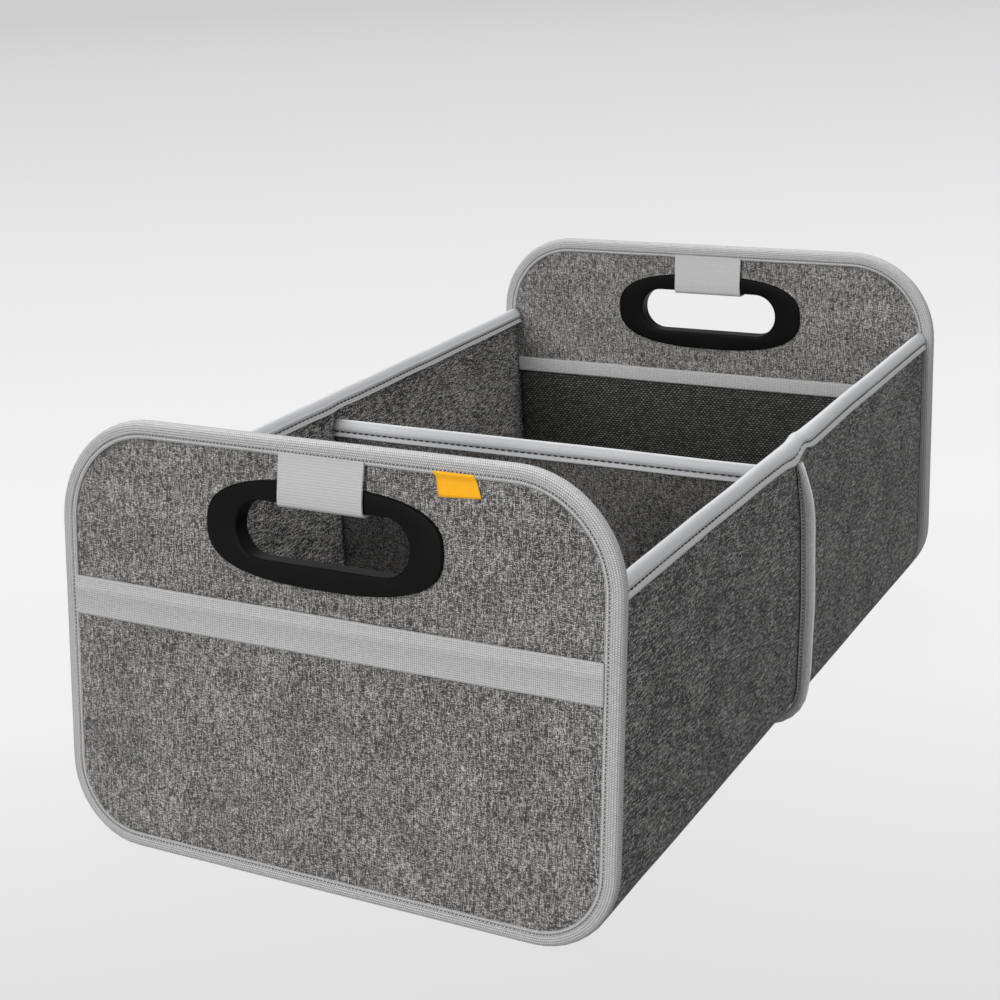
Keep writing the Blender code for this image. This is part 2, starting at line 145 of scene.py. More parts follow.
def yarns(finish, along, number, length, seed):
    """Tone of the yarn with that number, light or dark over stretches of about length."""
    spot = node(finish, "CombineXYZ")
    wire(finish, (maths(finish, "MULTIPLY_ADD", number, 5.37, seed), spot.inputs["X"]),
         (maths(finish, "DIVIDE", along, length), spot.inputs["Y"]))
    tone = node(finish, "TexNoise", noise_dimensions="2D", Scale=1.0, Detail=2.0, Roughness=0.6)
    spread = node(finish, "MapRange")
    spread.inputs["From Min"].default_value = 0.40
    spread.inputs["From Max"].default_value = 0.62
    wire(finish, (spot.outputs["Vector"], tone.inputs["Vector"]),
         (tone.outputs["Fac"], spread.inputs["Value"]))
    return spread.outputs["Result"]


def melange(name, dark, middle, light, pitches, streaks, weft_share):
    """Two-tone yarns, plain-woven: each crossing shows a stretch of its upper yarn, more of
    the weft by weft_share. pitches and streaks (the lengths of the light and dark stretches)
    are those of the warp and of the weft."""
    finish = new_finish(name, middle, 0.92)
    shader = finish.node_tree.nodes["Principled BSDF"]
    shader.inputs["Sheen Weight"].default_value = 0.05
    shader.inputs["Sheen Roughness"].default_value = 0.6
    flat = node(finish, "UVMap", uv_map="cloth")
    shifted = node(finish, "VectorMath", operation="ADD")
    shifted.inputs[1].default_value = (5.0, 5.0, 0.0)
    parts = node(finish, "SeparateXYZ")
    wire(finish, (flat.outputs["UV"], shifted.inputs[0]), (shifted.outputs[0], parts.inputs[0]))
    x, y = parts.outputs["X"], parts.outputs["Y"]
    warp_count = maths(finish, "DIVIDE", x, pitches[0])
    weft_count = maths(finish, "DIVIDE", y, pitches[1])
    warp, weft = maths(finish, "FLOOR", warp_count), maths(finish, "FLOOR", weft_count)
    warp_up = maths(finish, "MODULO", maths(finish, "ADD", warp, weft), 2.0)
    woven = node(finish, "Mix")
    wire(finish, (maths(finish, "MULTIPLY", warp_up, 1 - weft_share), woven.inputs["Factor"]),
         (yarns(finish, x, weft, streaks[1], 31.7), woven.inputs[2]),
         (yarns(finish, y, warp, streaks[0], 0.0), woven.inputs[3]))
    crossing = node(finish, "CombineXYZ")
    fleck = node(finish, "TexWhiteNoise", noise_dimensions="2D")
    wire(finish, (warp, crossing.inputs["X"]), (weft, crossing.inputs["Y"]),
         (crossing.outputs["Vector"], fleck.inputs["Vector"]))
    cloud = node(finish, "TexNoise", Scale=34.0, Detail=2.0, Roughness=0.5)
    wire(finish, (flat.outputs["UV"], cloud.inputs["Vector"]))
    level = maths(finish, "MULTIPLY_ADD", woven.outputs["Result"], 0.60, maths(
        finish, "MULTIPLY_ADD", fleck.outputs["Value"], 0.40, maths(
            finish, "MULTIPLY_ADD", cloud.outputs["Fac"], 0.28, -0.14)))
    tint = node(finish, "TexNoise", Scale=900.0, Detail=1.0)
    warm = node(finish, "ValToRGB")
    warm.color_ramp.elements[0].position = 0.42
    warm.color_ramp.elements[0].color = (0.96, 1.0, 1.03, 1)
    warm.color_ramp.elements[1].position = 0.58
    warm.color_ramp.elements[1].color = (1.06, 1.0, 0.97, 1)
    shades = node(finish, "ValToRGB")
    shades.color_ramp.elements[0].color = (*dark, 1)
    shades.color_ramp.elements[1].color = (*light, 1)
    half_way = shades.color_ramp.elements.new(0.5)
    half_way.color = (*middle, 1)
    colour = node(finish, "Mix", data_type="RGBA", blend_type="MULTIPLY")
    colour.inputs[0].default_value = 1.0
    crown = maths(finish, "MULTIPLY",
                  maths(finish, "ABSOLUTE", maths(finish, "SINE", maths(
                      finish, "MULTIPLY", warp_count, pi))),
                  maths(finish, "ABSOLUTE", maths(finish, "SINE", maths(
                      finish, "MULTIPLY", weft_count, pi))))
    relief = node(finish, "Bump", Strength=0.5, Distance=0.00022)
    wire(finish, (flat.outputs["UV"], tint.inputs["Vector"]), (level, shades.inputs["Fac"]),
         (tint.outputs["Fac"], warm.inputs["Fac"]),
         (shades.outputs["Color"], colour.inputs[6]), (warm.outputs["Color"], colour.inputs[7]),
         (colour.outputs[2], shader.inputs["Base Color"]), (crown, relief.inputs["Height"]),
         (relief.outputs["Normal"], shader.inputs["Normal"]))
    return finish


PANEL_CLOTH = melange("panel_melange", (0.010, 0.0097, 0.0095), (0.100, 0.0975, 0.095),
                      (0.70, 0.69, 0.675), (0.00036, 0.00044), (0.0060, 0.0028), 0.0)


def shaped_grid(columns, rows, shape, place=Matrix.Identity(4)):
    """A grid whose corners go where shape(i, j) says: a point in place's frame, and the flat
    coordinates of the cloth there, kept in metres as the UV map "cloth"."""
    work = bmesh.new()
    bmesh.ops.create_grid(work, x_segments=columns, y_segments=rows, size=1)
    flat = work.loops.layers.uv.new("cloth")
    spots = {}
    for corner in work.verts:
        i = round((corner.co.x + 1) / 2 * columns)
        j = round((corner.co.y + 1) / 2 * rows)
        point, spot = shape(i, j)
        spots[corner] = spot
        corner.co = place @ Vector(point)
    for face in work.faces:
        for loop in face.loops:
            loop[flat].uv = spots[loop.vert]
    return work


def finish_piece(name, work, finish, body="root", nodes=(), smooth=True, sharp=None):
    """Turns the bmesh into a piece that rides on its body and stands for its solids."""
    mesh = bpy.data.meshes.new(name)
    work.to_mesh(mesh)
    work.free()
    mesh.materials.append(finish)
    if smooth:
        mesh.shade_smooth()
    if sharp:
        mesh.set_sharp_from_angle(angle=radians(sharp))
    piece = bpy.data.objects.new(name, mesh)
    bpy.context.scene.collection.objects.link(piece)
    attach(piece, body)
    if nodes:
        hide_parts(*nodes)
    return piece


def thicken(piece, thickness, offset=-1):
    """Gives a cloth its thickness, inwards from its faces where offset is -1."""
    wall = piece.modifiers.new("thickness", "SOLIDIFY")
    wall.thickness = thickness
    wall.offset = offset
    wall.use_even_offset = True


def turn_faces(work, direction):
    """Turns the whole sheet so that its faces look along direction."""
    work.normal_update()
    if sum(face.normal.dot(direction) * face.calc_area() for face in work.faces) < 0:
        bmesh.ops.reverse_faces(work, faces=work.faces[:])


def half_width_at(height, inset, half=WIDTH / 2, top=PANEL_HEIGHT):
    """Half the panel's width at a height above its foot, for the outline moved in by inset."""
    top_radius, foot_radius = TOP_RADIUS - inset, FOOT_RADIUS - inset
    from_top = (top - inset) - height
    from_foot = height - (inset - FOOT_SINK)
    drawn_in = 0.0
    if from_top < top_radius:
        drawn_in = top_radius - max(top_radius ** 2 - (top_radius - from_top) ** 2, 0) ** 0.5
    elif from_foot < foot_radius:
        drawn_in = foot_radius - max(foot_radius ** 2 - (foot_radius - from_foot) ** 2, 0) ** 0.5
    return half - inset - drawn_in


def open_oval(work, middle, centre, width, height, place):
    """Cuts the oval of the hand grip out of a flat panel cloth and draws its rim to shape."""
    back = place.inverted()
    end, reach = height / 2, width / 2 - height / 2
    spots = {corner: back @ corner.co for corner in work.verts}

    def nearest(spot):
        """Closest point of the oval's middle line."""
        return min(max(spot.x - middle, -reach), reach) + middle

    inside = [corner for corner, spot in spots.items()
              if hypot(spot.x - nearest(spot), spot.z - centre) < end]
    bmesh.ops.delete(work, geom=inside, context="VERTS")
    for edge in work.edges:
        if not edge.is_boundary:
            continue
        for corner in edge.verts:
            spot = back @ corner.co
            dx, dz = spot.x - nearest(spot), spot.z - centre
            far = hypot(dx, dz)
            if end <= far < end * 1.6:
                corner.co = place @ Vector((nearest(spot) + dx * end / far, spot.y,
                                            centre + dz * end / far))


CLOTH_EDGE = TAPE + CLEARANCE
CLOTH_CELL = 0.0036
cloth_top = PANEL_HEIGHT - CLOTH_EDGE
cloth_foot = CLOTH_EDGE - FOOT_SINK
for end, place, right in ENDS:
    for side, outward in (("outer", -1), ("inner", 1)):
        columns = ceil((WIDTH - 2 * CLOTH_EDGE) / CLOTH_CELL)
        rows = ceil((cloth_top - cloth_foot) / CLOTH_CELL)

        def panel_cloth(i, j):
            """Flat on the board, and a little fuller between the grip and the bound edge."""
            height = cloth_foot + (cloth_top - cloth_foot) * j / rows
            x = (2 * i / columns - 1) * half_width_at(height, CLOTH_EDGE)
            swell = 0.00025 * (1 + noise.noise(Vector((x * 28, height * 28, outward * 3.1))))
            return (x, outward * (PANEL_FACE + swell * 0.5), height), (x, height)

        sheet = shaped_grid(columns, rows, panel_cloth, place)
        open_oval(sheet, right * HANDLE_ASIDE, GRIP_MIDDLE, SLEEVE_WIDTH + 2 * CLEARANCE,
                  SLEEVE_HEIGHT + 2 * CLEARANCE, place)
        turn_faces(sheet, place.to_3x3() @ Vector((0, outward, 0)))
        cloth = finish_piece(f"{end}_{side}_cloth_sheet", sheet, PANEL_CLOTH,
                             nodes=[f"{end}_{side}_cloth"])
        thicken(cloth, CLOTH)


# Bound edges of the end panels. A light grey woven tape is folded over the panel's edge and
# sewn through with dark thread; its selvedge stands beyond the stitches. It is a ribbed
# section carried once round the panel, pressed flat where the panel stands.

PANEL_TAPE_REACH = 0.0088
RIB_PITCH = 0.00125
RIB_HEIGHT = 0.00016
GROOVE = 0.0064               # of the stitches, from the folded edge


def woven_tape(name, colour, darker, pitch_along, pitch_across, bump, stagger=0.5, streaks=0.0):
    """Woven tape: small raised crossings in rows, each row shifted by stagger, darker between."""
    finish = new_finish(name, colour, 0.88)
    shader = finish.node_tree.nodes["Principled BSDF"]
    shader.inputs["Sheen Weight"].default_value = 0.08
    shader.inputs["Sheen Roughness"].default_value = 0.5
    flat = node(finish, "UVMap", uv_map="cloth")
    shifted = node(finish, "VectorMath", operation="ADD")
    shifted.inputs[1].default_value = (5.0, 5.0, 0.0)
    parts = node(finish, "SeparateXYZ")
    wire(finish, (flat.outputs["UV"], shifted.inputs[0]), (shifted.outputs[0], parts.inputs[0]))
    row = maths(finish, "DIVIDE", parts.outputs["Y"], pitch_across)
    odd = maths(finish, "MODULO", maths(finish, "FLOOR", row), 2.0)
    column = maths(finish, "MULTIPLY_ADD", odd, stagger,
                   maths(finish, "DIVIDE", parts.outputs["X"], pitch_along))
    crown_along = maths(finish, "ABSOLUTE", maths(finish, "SINE", maths(
        finish, "MULTIPLY", column, pi)))
    crown_across = maths(finish, "ABSOLUTE", maths(finish, "SINE", maths(
        finish, "MULTIPLY", row, pi)))
    crossing = maths(finish, "MULTIPLY", crown_along, crown_across)
    wander = node(finish, "TexNoise", Scale=420.0, Detail=3.0)
    level = maths(finish, "ADD", crossing, maths(finish, "MULTIPLY_ADD",
                                                 wander.outputs["Fac"], 0.5, -0.2))
    if streaks:
        stripe = yarns(finish, parts.outputs["X"], maths(finish, "FLOOR", row), 0.0022, 3.3)
        level = maths(finish, "ADD", level, maths(finish, "MULTIPLY_ADD", stripe, streaks,
                                                  -streaks / 2))
    shades = node(finish, "ValToRGB")
    shades.color_ramp.elements[0].color = (*darker, 1)
    shades.color_ramp.elements[1].color = (*colour, 1)
    shades.color_ramp.elements[1].position = 0.85
    relief = node(finish, "Bump", Strength=bump, Distance=0.00025)
    wire(finish, (flat.outputs["UV"], wander.inputs["Vector"]), (level, shades.inputs["Fac"]),
         (shades.outputs["Color"], shader.inputs["Base Color"]),
         (crossing, relief.inputs["Height"]), (relief.outputs["Normal"], shader.inputs["Normal"]))
    return finish


BINDING_TAPE = woven_tape("binding_tape", (0.58, 0.58, 0.58), (0.22, 0.22, 0.22),
                          0.0012, 0.00125, 0.45)
THREAD = new_finish("dark_thread", (0.020, 0.020, 0.020), 0.75)
mottled(THREAD, (0.030, 0.030, 0.030), (0.012, 0.012, 0.012), 1500.0, 0.4)


def fold_section(reach, half_gap, tape, groove, rib_pitch=RIB_PITCH, rib_height=RIB_HEIGHT,
                 dip=0.0005, lip=0.0003, flare=0.0, crest=0.0):
    """Closed section of a tape folded over an edge, as (distance in from the fold, depth from
    the middle, distance along the tape). Ribs run over the fold down to the groove, which dips
    in at the stitches; the selvedge beyond it stands lip below the face and flares out. With a
    crest the fold is round, to that radius, and its sides widen from there to the groove."""
    face = half_gap + tape
    if crest:
        down, out = groove - 0.0026 - crest, face
        widest = acos(-crest / hypot(down, out)) - atan2(out, down)
        outside = [(crest * (1 - cos(widest * turn / 8)), crest * sin(widest * turn / 8))
                   for turn in range(9)] + [(groove - 0.0026, face)]
        inside = [(groove - 0.0012, half_gap - 0.0002), (crest, crest - tape),
                  (tape, (crest - tape) / 2)]
    else:
        outside = [(0.0, 0.0), (0.00008, face * 0.30), (0.0004, face * 0.58), (0.0011, face * 0.82),
                   (0.0022, face * 0.96), (0.0036, face)]
        inside = [(tape + 0.0004, half_gap), (tape, half_gap * 0.7)]
    outside += [(groove - 0.0008, face - dip * 0.25), (groove - 0.0004, face - dip * 0.8),
                (groove, face - dip), (groove + 0.0004, face - dip * 0.8),
                (groove + 0.0009, face - lip), (reach - 0.0006, face - lip + flare),
                (reach - 0.0001, face - lip + flare - 0.0004), (reach, half_gap + tape * 0.3)]
    curve = [Vector(point) for point in outside]
    fine = []
    travelled = 0.0
    for one, other in zip(curve, curve[1:]):
        length = (other - one).length
        steps = max(1, round(length / (rib_pitch / 5)))
        for step in range(steps):
            fine.append((one.lerp(other, step / steps), travelled + length * step / steps))
        travelled += length
    fine.append((curve[-1], travelled))
    for _ in range(3):
        eased = [before[0] / 4 + here[0] / 2 + after[0] / 4
                 for before, here, after in zip(fine, fine[1:], fine[2:])]
        fine[1:-1] = [(spot, run) for spot, (_, run) in zip(eased, fine[1:-1])]
    half = []
    for index, (spot, run) in enumerate(fine):
        before = fine[max(index - 1, 0)][0]
        after = fine[min(index + 1, len(fine) - 1)][0]
        way = (after - before).normalized()
        out = Vector((-way.y, way.x))
        rib = rib_height * cos(2 * pi * run / rib_pitch) if spot.x < groove - 0.0006 else 0.0
        half.append((spot.x + out.x * rib, spot.y + out.y * rib, run))
    inner = [(inset, depth, travelled + 0.001 * (number + 1))
             for number, (inset, depth) in enumerate([(reach, half_gap)] + inside)]
    near = half + inner
    far = [(inset, -depth, -run) for inset, depth, run in near[::-1]]
    return near + far[:-1]


PANEL_SECTION = fold_section(PANEL_TAPE_REACH, PANEL_FACE + CLEARANCE, TAPE, GROOVE)


def panel_path(step):
    """Stations once round the panel's outline, from the middle of its foot: the point on the
    outline, the way out of the panel, and the distance covered."""
    half, foot, top = WIDTH / 2, -FOOT_SINK, PANEL_HEIGHT
    corners = ((half - FOOT_RADIUS, foot + FOOT_RADIUS, FOOT_RADIUS, -pi / 2),
               (half - TOP_RADIUS, top - TOP_RADIUS, TOP_RADIUS, 0.0),
               (-half + TOP_RADIUS, top - TOP_RADIUS, TOP_RADIUS, pi / 2),
               (-half + FOOT_RADIUS, foot + FOOT_RADIUS, FOOT_RADIUS, pi))
    stations = [(Vector((0, foot)), Vector((0, -1)), 0.0)]

    def straight_to(spot, way):
        start, _, run = stations[-1]
        length = (spot - start).length
        pieces = max(1, ceil(length / step))
        for piece in range(1, pieces + 1):
            stations.append((start.lerp(spot, piece / pieces), way, run + length * piece / pieces))

    for x, z, radius, start in corners:
        way = Vector((cos(start), sin(start)))
        straight_to(Vector((x, z)) + way * radius, way)
        pieces = max(6, ceil(radius * pi / 2 / step))
        run = stations[-1][2]
        for piece in range(1, pieces + 1):
            turn = pi / 2 * piece / pieces
            way = Vector((cos(start + turn), sin(start + turn)))
            stations.append((Vector((x, z)) + way * radius, way, run + radius * turn))
    straight_to(Vector((0, foot)), Vector((0, -1)))
    return stations


PANEL_PATH = panel_path(0.0065)


def bound_point(place, spot, way, inset, depth):
    """A point of the binding, pressed flat at the ground."""
    flat = spot - way * inset
    point = place @ Vector((flat.x, depth, flat.y))
    point.z = max(point.z, 0.0)
    return point


def hand_sewn_drift(run, seed):
    """Slow wander of a sewn edge, a fifth of a millimetre either way."""
    return 0.0002 * noise.noise(Vector((run * 45, seed * 5.7, 0.3)))


for end, place, right in ENDS:
    def binding(i, j):
        """Section point j at station i; the tape's inner edges wander slightly."""
        spot, way, run = PANEL_PATH[i]
        inset, depth, across = PANEL_SECTION[j % len(PANEL_SECTION)]
        share = inset / PANEL_TAPE_REACH
        drift = hand_sewn_drift(run, 1 if depth > 0 else 2)
        puff = 1 + 0.035 * noise.noise(Vector((run * 60, right, depth * 200)))
        point = bound_point(place, spot, way, inset + drift * share, depth * puff)
        return point, (run, across)

    tape = shaped_grid(len(PANEL_PATH) - 1, len(PANEL_SECTION), binding)
    bmesh.ops.remove_doubles(tape, verts=tape.verts[:], dist=0.000001)
    bmesh.ops.recalc_face_normals(tape, faces=tape.faces[:])
    finish_piece(f"{end}_binding_tape", tape, BINDING_TAPE,
                 nodes=[f"{end}_binding"])


def sew(name, places, length, radius, finish, body="root"):
    """A row of stitches: each place gives a stitch's middle and the way it runs."""
    one = bmesh.new()
    bmesh.ops.create_uvsphere(one, u_segments=6, v_segments=4, radius=1.0)
    stitch = bpy.data.meshes.new("stitch")
    one.to_mesh(stitch)
    one.free()
    size = Matrix.Diagonal((radius, radius, length / 2, 1.0))
    work = bmesh.new()
    for middle, along in places:
        first = len(work.verts)
        work.from_mesh(stitch)
        work.verts.ensure_lookup_table()
        turn = along.to_track_quat("Z", "Y").to_matrix().to_4x4()
        bmesh.ops.transform(work, matrix=Matrix.Translation(middle) @ turn @ size,
                            verts=work.verts[first:])
    bpy.data.meshes.remove(stitch)
    return finish_piece(name, work, finish, body=body)


def along_path(path, pitch):
    """Places at an even pitch along a list of stations: point, way out, distance, direction."""
    total = path[-1][2]
    count = max(1, round(total / pitch))
    found, index = [], 0
    for number in range(count):
        run = (number + 0.5) * total / count
        while path[index + 1][2] < run:
            index += 1
        (one, way_one, run_one), (other, way_other, run_other) = path[index], path[index + 1]
        share = (run - run_one) / (run_other - run_one)
        found.append((one.lerp(other, share), way_one.lerp(way_other, share).normalized(), run,
                      (other - one).normalized()))
    return found


PANEL_STITCH_PITCH = 0.0021
for end, place, right in ENDS:
    stitches = []
    for depth in (-1, 1):
        sewn = depth * (PANEL_FACE + CLEARANCE + TAPE - 0.0004)
        for spot, way, run, ahead in along_path(PANEL_PATH, PANEL_STITCH_PITCH):
            point = bound_point(place, spot, way, GROOVE, sewn)
            if point.z > 0.0003:
                stitches.append((point, place.to_3x3() @ Vector((ahead.x, 0, ahead.y))))
    sew(f"{end}_binding_stitches", stitches, 0.0015, 0.00028, THREAD)


# Hand grips. Each end panel has a pair of black injection-moulded ovals with a satin surface;
# the outer one carries a sleeve through the panel and the inner one clips over it.

GRIP_WIDTH = 0.1345
GRIP_HEIGHT = 0.0524
SLOT_WIDTH = 0.0990
SLOT_HEIGHT = 0.0290
GRIP_FACE = 0.0054
GRIP_SEAT = PANEL_FACE + CLEARANCE
OUTER_ROUND = 0.0010
INNER_ROUND = 0.0016

GRIP_PLASTIC = new_finish("satin_black_plastic", (0.0045, 0.0045, 0.0043), 0.46)
GRIP_PLASTIC.node_tree.nodes["Principled BSDF"].inputs["Specular IOR Level"].default_value = 0.07
grain_place = node(GRIP_PLASTIC, "TexCoord")
grain = node(GRIP_PLASTIC, "TexNoise", Scale=2600.0, Detail=2.0)
smudges = node(GRIP_PLASTIC, "TexNoise", Scale=45.0, Detail=2.0)
satin = node(GRIP_PLASTIC, "MapRange")
satin.inputs["From Min"].default_value = 0.3
satin.inputs["From Max"].default_value = 0.7
satin.inputs["To Min"].default_value = 0.42
satin.inputs["To Max"].default_value = 0.52
blacks = node(GRIP_PLASTIC, "ValToRGB")
blacks.color_ramp.elements[0].color = (0.0022, 0.0026, 0.0021, 1)
blacks.color_ramp.elements[1].color = (0.0042, 0.0047, 0.0040, 1)
grain_relief = node(GRIP_PLASTIC, "Bump", Strength=0.12, Distance=0.0001)
grip_shader = GRIP_PLASTIC.node_tree.nodes["Principled BSDF"]
wire(GRIP_PLASTIC, (grain_place.outputs["Object"], grain.inputs["Vector"]),
     (grain_place.outputs["Object"], smudges.inputs["Vector"]),
     (smudges.outputs["Fac"], satin.inputs["Value"]),
     (satin.outputs["Result"], grip_shader.inputs["Roughness"]),
     (smudges.outputs["Fac"], blacks.inputs["Fac"]),
     (blacks.outputs["Color"], grip_shader.inputs["Base Color"]),
     (grain.outputs["Fac"], grain_relief.inputs["Height"]),
     (grain_relief.outputs["Normal"], grip_shader.inputs["Normal"]))

OVAL_STEPS = 128
RIM_POWER = 0.74


def rim_point(step, width, height):
    """Point of a full oval; OVAL_STEPS steps go once round."""
    across, up = cos(2 * pi * step / OVAL_STEPS), sin(2 * pi * step / OVAL_STEPS)
    return (width / 2 * copysign(abs(across) ** RIM_POWER, across),
            height / 2 * copysign(abs(up) ** RIM_POWER, up))


def slot_point(step, width, height):
    """Point of an oval with half-round ends, on the line from the middle to the rim's point."""
    x, z = rim_point(step, GRIP_WIDTH, GRIP_HEIGHT)
    x, z = x / hypot(x, z), z / hypot(x, z)
    radius, reach = height / 2, width / 2 - height / 2
    if abs(z) * reach >= abs(x) * radius:
        far = radius / abs(z)
    else:
        far = reach * abs(x) + (radius ** 2 - (reach * z) ** 2) ** 0.5
    return far * x, far * z


def rounding(radius, steps=5):
    """Quarter circle from along the wall to along the face, as (in from the wall, below face)."""
    return [(radius * (1 - cos(pi / 2 * step / steps)), radius * (1 - sin(pi / 2 * step / steps)))
            for step in range(steps + 1)]


def grip_section(sleeve_end):
    """Closed section as (which wall it hangs on, distance from it, depth): slot wall, rounded
    lip, faintly crowned face, outer rounding, seat and, where there is one, the sleeve."""
    section = [("slot", 0.0, sleeve_end), ("slot", 0.0, GRIP_SEAT)]
    section += [("slot", away, GRIP_FACE - below) for away, below in rounding(INNER_ROUND)]
    section += [("rim", away, GRIP_FACE - below) for away, below in rounding(OUTER_ROUND)[::-1]]
    section += [("rim", 0.0, GRIP_SEAT)]
    if sleeve_end < GRIP_SEAT:
        section += [("slot", 0.0018, GRIP_SEAT), ("slot", 0.0018, sleeve_end)]
    return section


for end, place, right in ENDS:
    for side, outward, sleeve_end in (("outer", -1, -GRIP_SEAT),
                                      ("inner", 1, GRIP_SEAT + CLEARANCE)):
        section = grip_section(sleeve_end)
        if side == "inner":
            section = section[1:]

        def grip(i, j):
            """Point i round the oval on section point j."""
            wall, away, depth = section[j % len(section)]
            if wall == "slot":
                x, z = slot_point(i, SLOT_WIDTH + 2 * away, SLOT_HEIGHT + 2 * away)
            else:
                x, z = rim_point(i, GRIP_WIDTH - 2 * away, GRIP_HEIGHT - 2 * away)
            return (right * HANDLE_ASIDE + x, outward * depth, GRIP_MIDDLE + z), (x, z)

        ring = shaped_grid(OVAL_STEPS, len(section), grip, place)
        bmesh.ops.remove_doubles(ring, verts=ring.verts[:], dist=0.000001)
        bmesh.ops.recalc_face_normals(ring, faces=ring.faces[:])
        finish_piece(f"{end}_{side}_grip_ring", ring, GRIP_PLASTIC,
                     nodes=[f"{end}_grip_{side}"], sharp=50)


# Webbing tabs. A short piece of light grey ribbed webbing is sewn under the top binding on
# both faces and loops through the slot, over the grip's top bar.

TAB_WIDTH = 0.0484
TAB_ASIDE = 0.0021
TAB_THICKNESS = 0.0014
TAB_RIB = 0.00145
TAB_TOP = PANEL_HEIGHT - GROOVE - 0.0004
WEBBING = woven_tape("ribbed_webbing", (0.53, 0.53, 0.53), (0.42, 0.42, 0.42),
                     0.0008, 0.00145, 0.3)


def smooth_line(points, radius, step):
    """The line through points, with its corners rounded and even short steps along it."""
    line = [points[0]]
    for before, corner, after in zip(points, points[1:], points[2:]):
        cut = min(radius, (corner - before).length / 2.2, (after - corner).length / 2.2)
        start = corner + (before - corner).normalized() * cut
        stop = corner + (after - corner).normalized() * cut
        line += [(start * (1 - t) ** 2 + corner * 2 * t * (1 - t) + stop * t ** 2)
                 for t in (0, 0.2, 0.4, 0.6, 0.8, 1)]
    line.append(points[-1])
    even, run = [], 0.0
    for one, other in zip(line, line[1:]):
        length = (other - one).length
        pieces = max(1, ceil(length / step))
        for piece in range(pieces):
            even.append((one.lerp(other, piece / pieces), run + length * piece / pieces))
        run += length
    even.append((line[-1], run))
    return even


ON_CLOTH = PANEL_FACE + CLEARANCE + TAB_THICKNESS / 2
ON_GRIP = GRIP_FACE + CLEARANCE + TAB_THICKNESS / 2
GRIP_TOP = GRIP_MIDDLE + GRIP_HEIGHT / 2
UNDER_BAR = GRIP_MIDDLE + SLOT_HEIGHT / 2 - CLEARANCE - TAB_THICKNESS / 2
half_loop = [Vector((-PANEL_FACE - CLEARANCE - TAPE - 0.0002, TAB_TOP)),
             Vector((-ON_CLOTH - 0.0012, TAB_TOP - 0.0030)),
             Vector((-ON_GRIP + 0.0002, GRIP_TOP - 0.0010)),
             Vector((-ON_GRIP - 0.0003, GRIP_MIDDLE + 0.0195)), Vector((-ON_GRIP, UNDER_BAR))]
TAB_LINE = smooth_line(half_loop + [Vector((-spot.x, spot.y)) for spot in half_loop[::-1]],
                       0.0022, TAB_RIB / 6)
TAB_ACROSS = 20
for end, place, right in ENDS:
    around = 2 * len(TAB_LINE)

    def tab(i, j):
        """Closed loop j round the webbing's thickness, column i across its width."""
        outside = j % around < len(TAB_LINE)
        index = j % around if outside else around - 1 - j % around
        spot, run = TAB_LINE[index]
        before = TAB_LINE[max(index - 1, 0)][0]
        after = TAB_LINE[min(index + 1, len(TAB_LINE) - 1)][0]
        way = (after - before).normalized()
        out = Vector((way.y, -way.x))
        across = 2 * i / TAB_ACROSS - 1
        edge = max(0.0, 1 - abs(across) ** 14)
        rib = 0.00013 * cos(2 * pi * run / TAB_RIB) * edge
        lift = TAB_THICKNESS / 2 * (0.55 + 0.45 * edge) + rib + 0.00025 * (1 - across ** 2)
        if not outside:
            lift = -TAB_THICKNESS / 2
        waist = 1 - 0.012 * sin(pi * run / TAB_LINE[-1][1] * 2) ** 2
        x = right * TAB_ASIDE + across * TAB_WIDTH / 2 * waist
        flat = spot - out * lift
        return (x, flat.x, flat.y), (across * TAB_WIDTH / 2, run)

    webbing = shaped_grid(TAB_ACROSS, around, tab, place)
    bmesh.ops.remove_doubles(webbing, verts=webbing.verts[:], dist=0.000001)
    bmesh.ops.holes_fill(webbing, edges=[edge for edge in webbing.edges if edge.is_boundary])
    bmesh.ops.recalc_face_normals(webbing, faces=webbing.faces[:])
    strap = finish_piece(f"{end}_tab_webbing", webbing, WEBBING,
                         nodes=[f"{end}_grip_tab"], sharp=60)


# Outer pockets. A flat pocket of the melange cloth covers the lower part of each end panel's
# outer face, caught in the binding, with a light grey band sewn along its mouth.

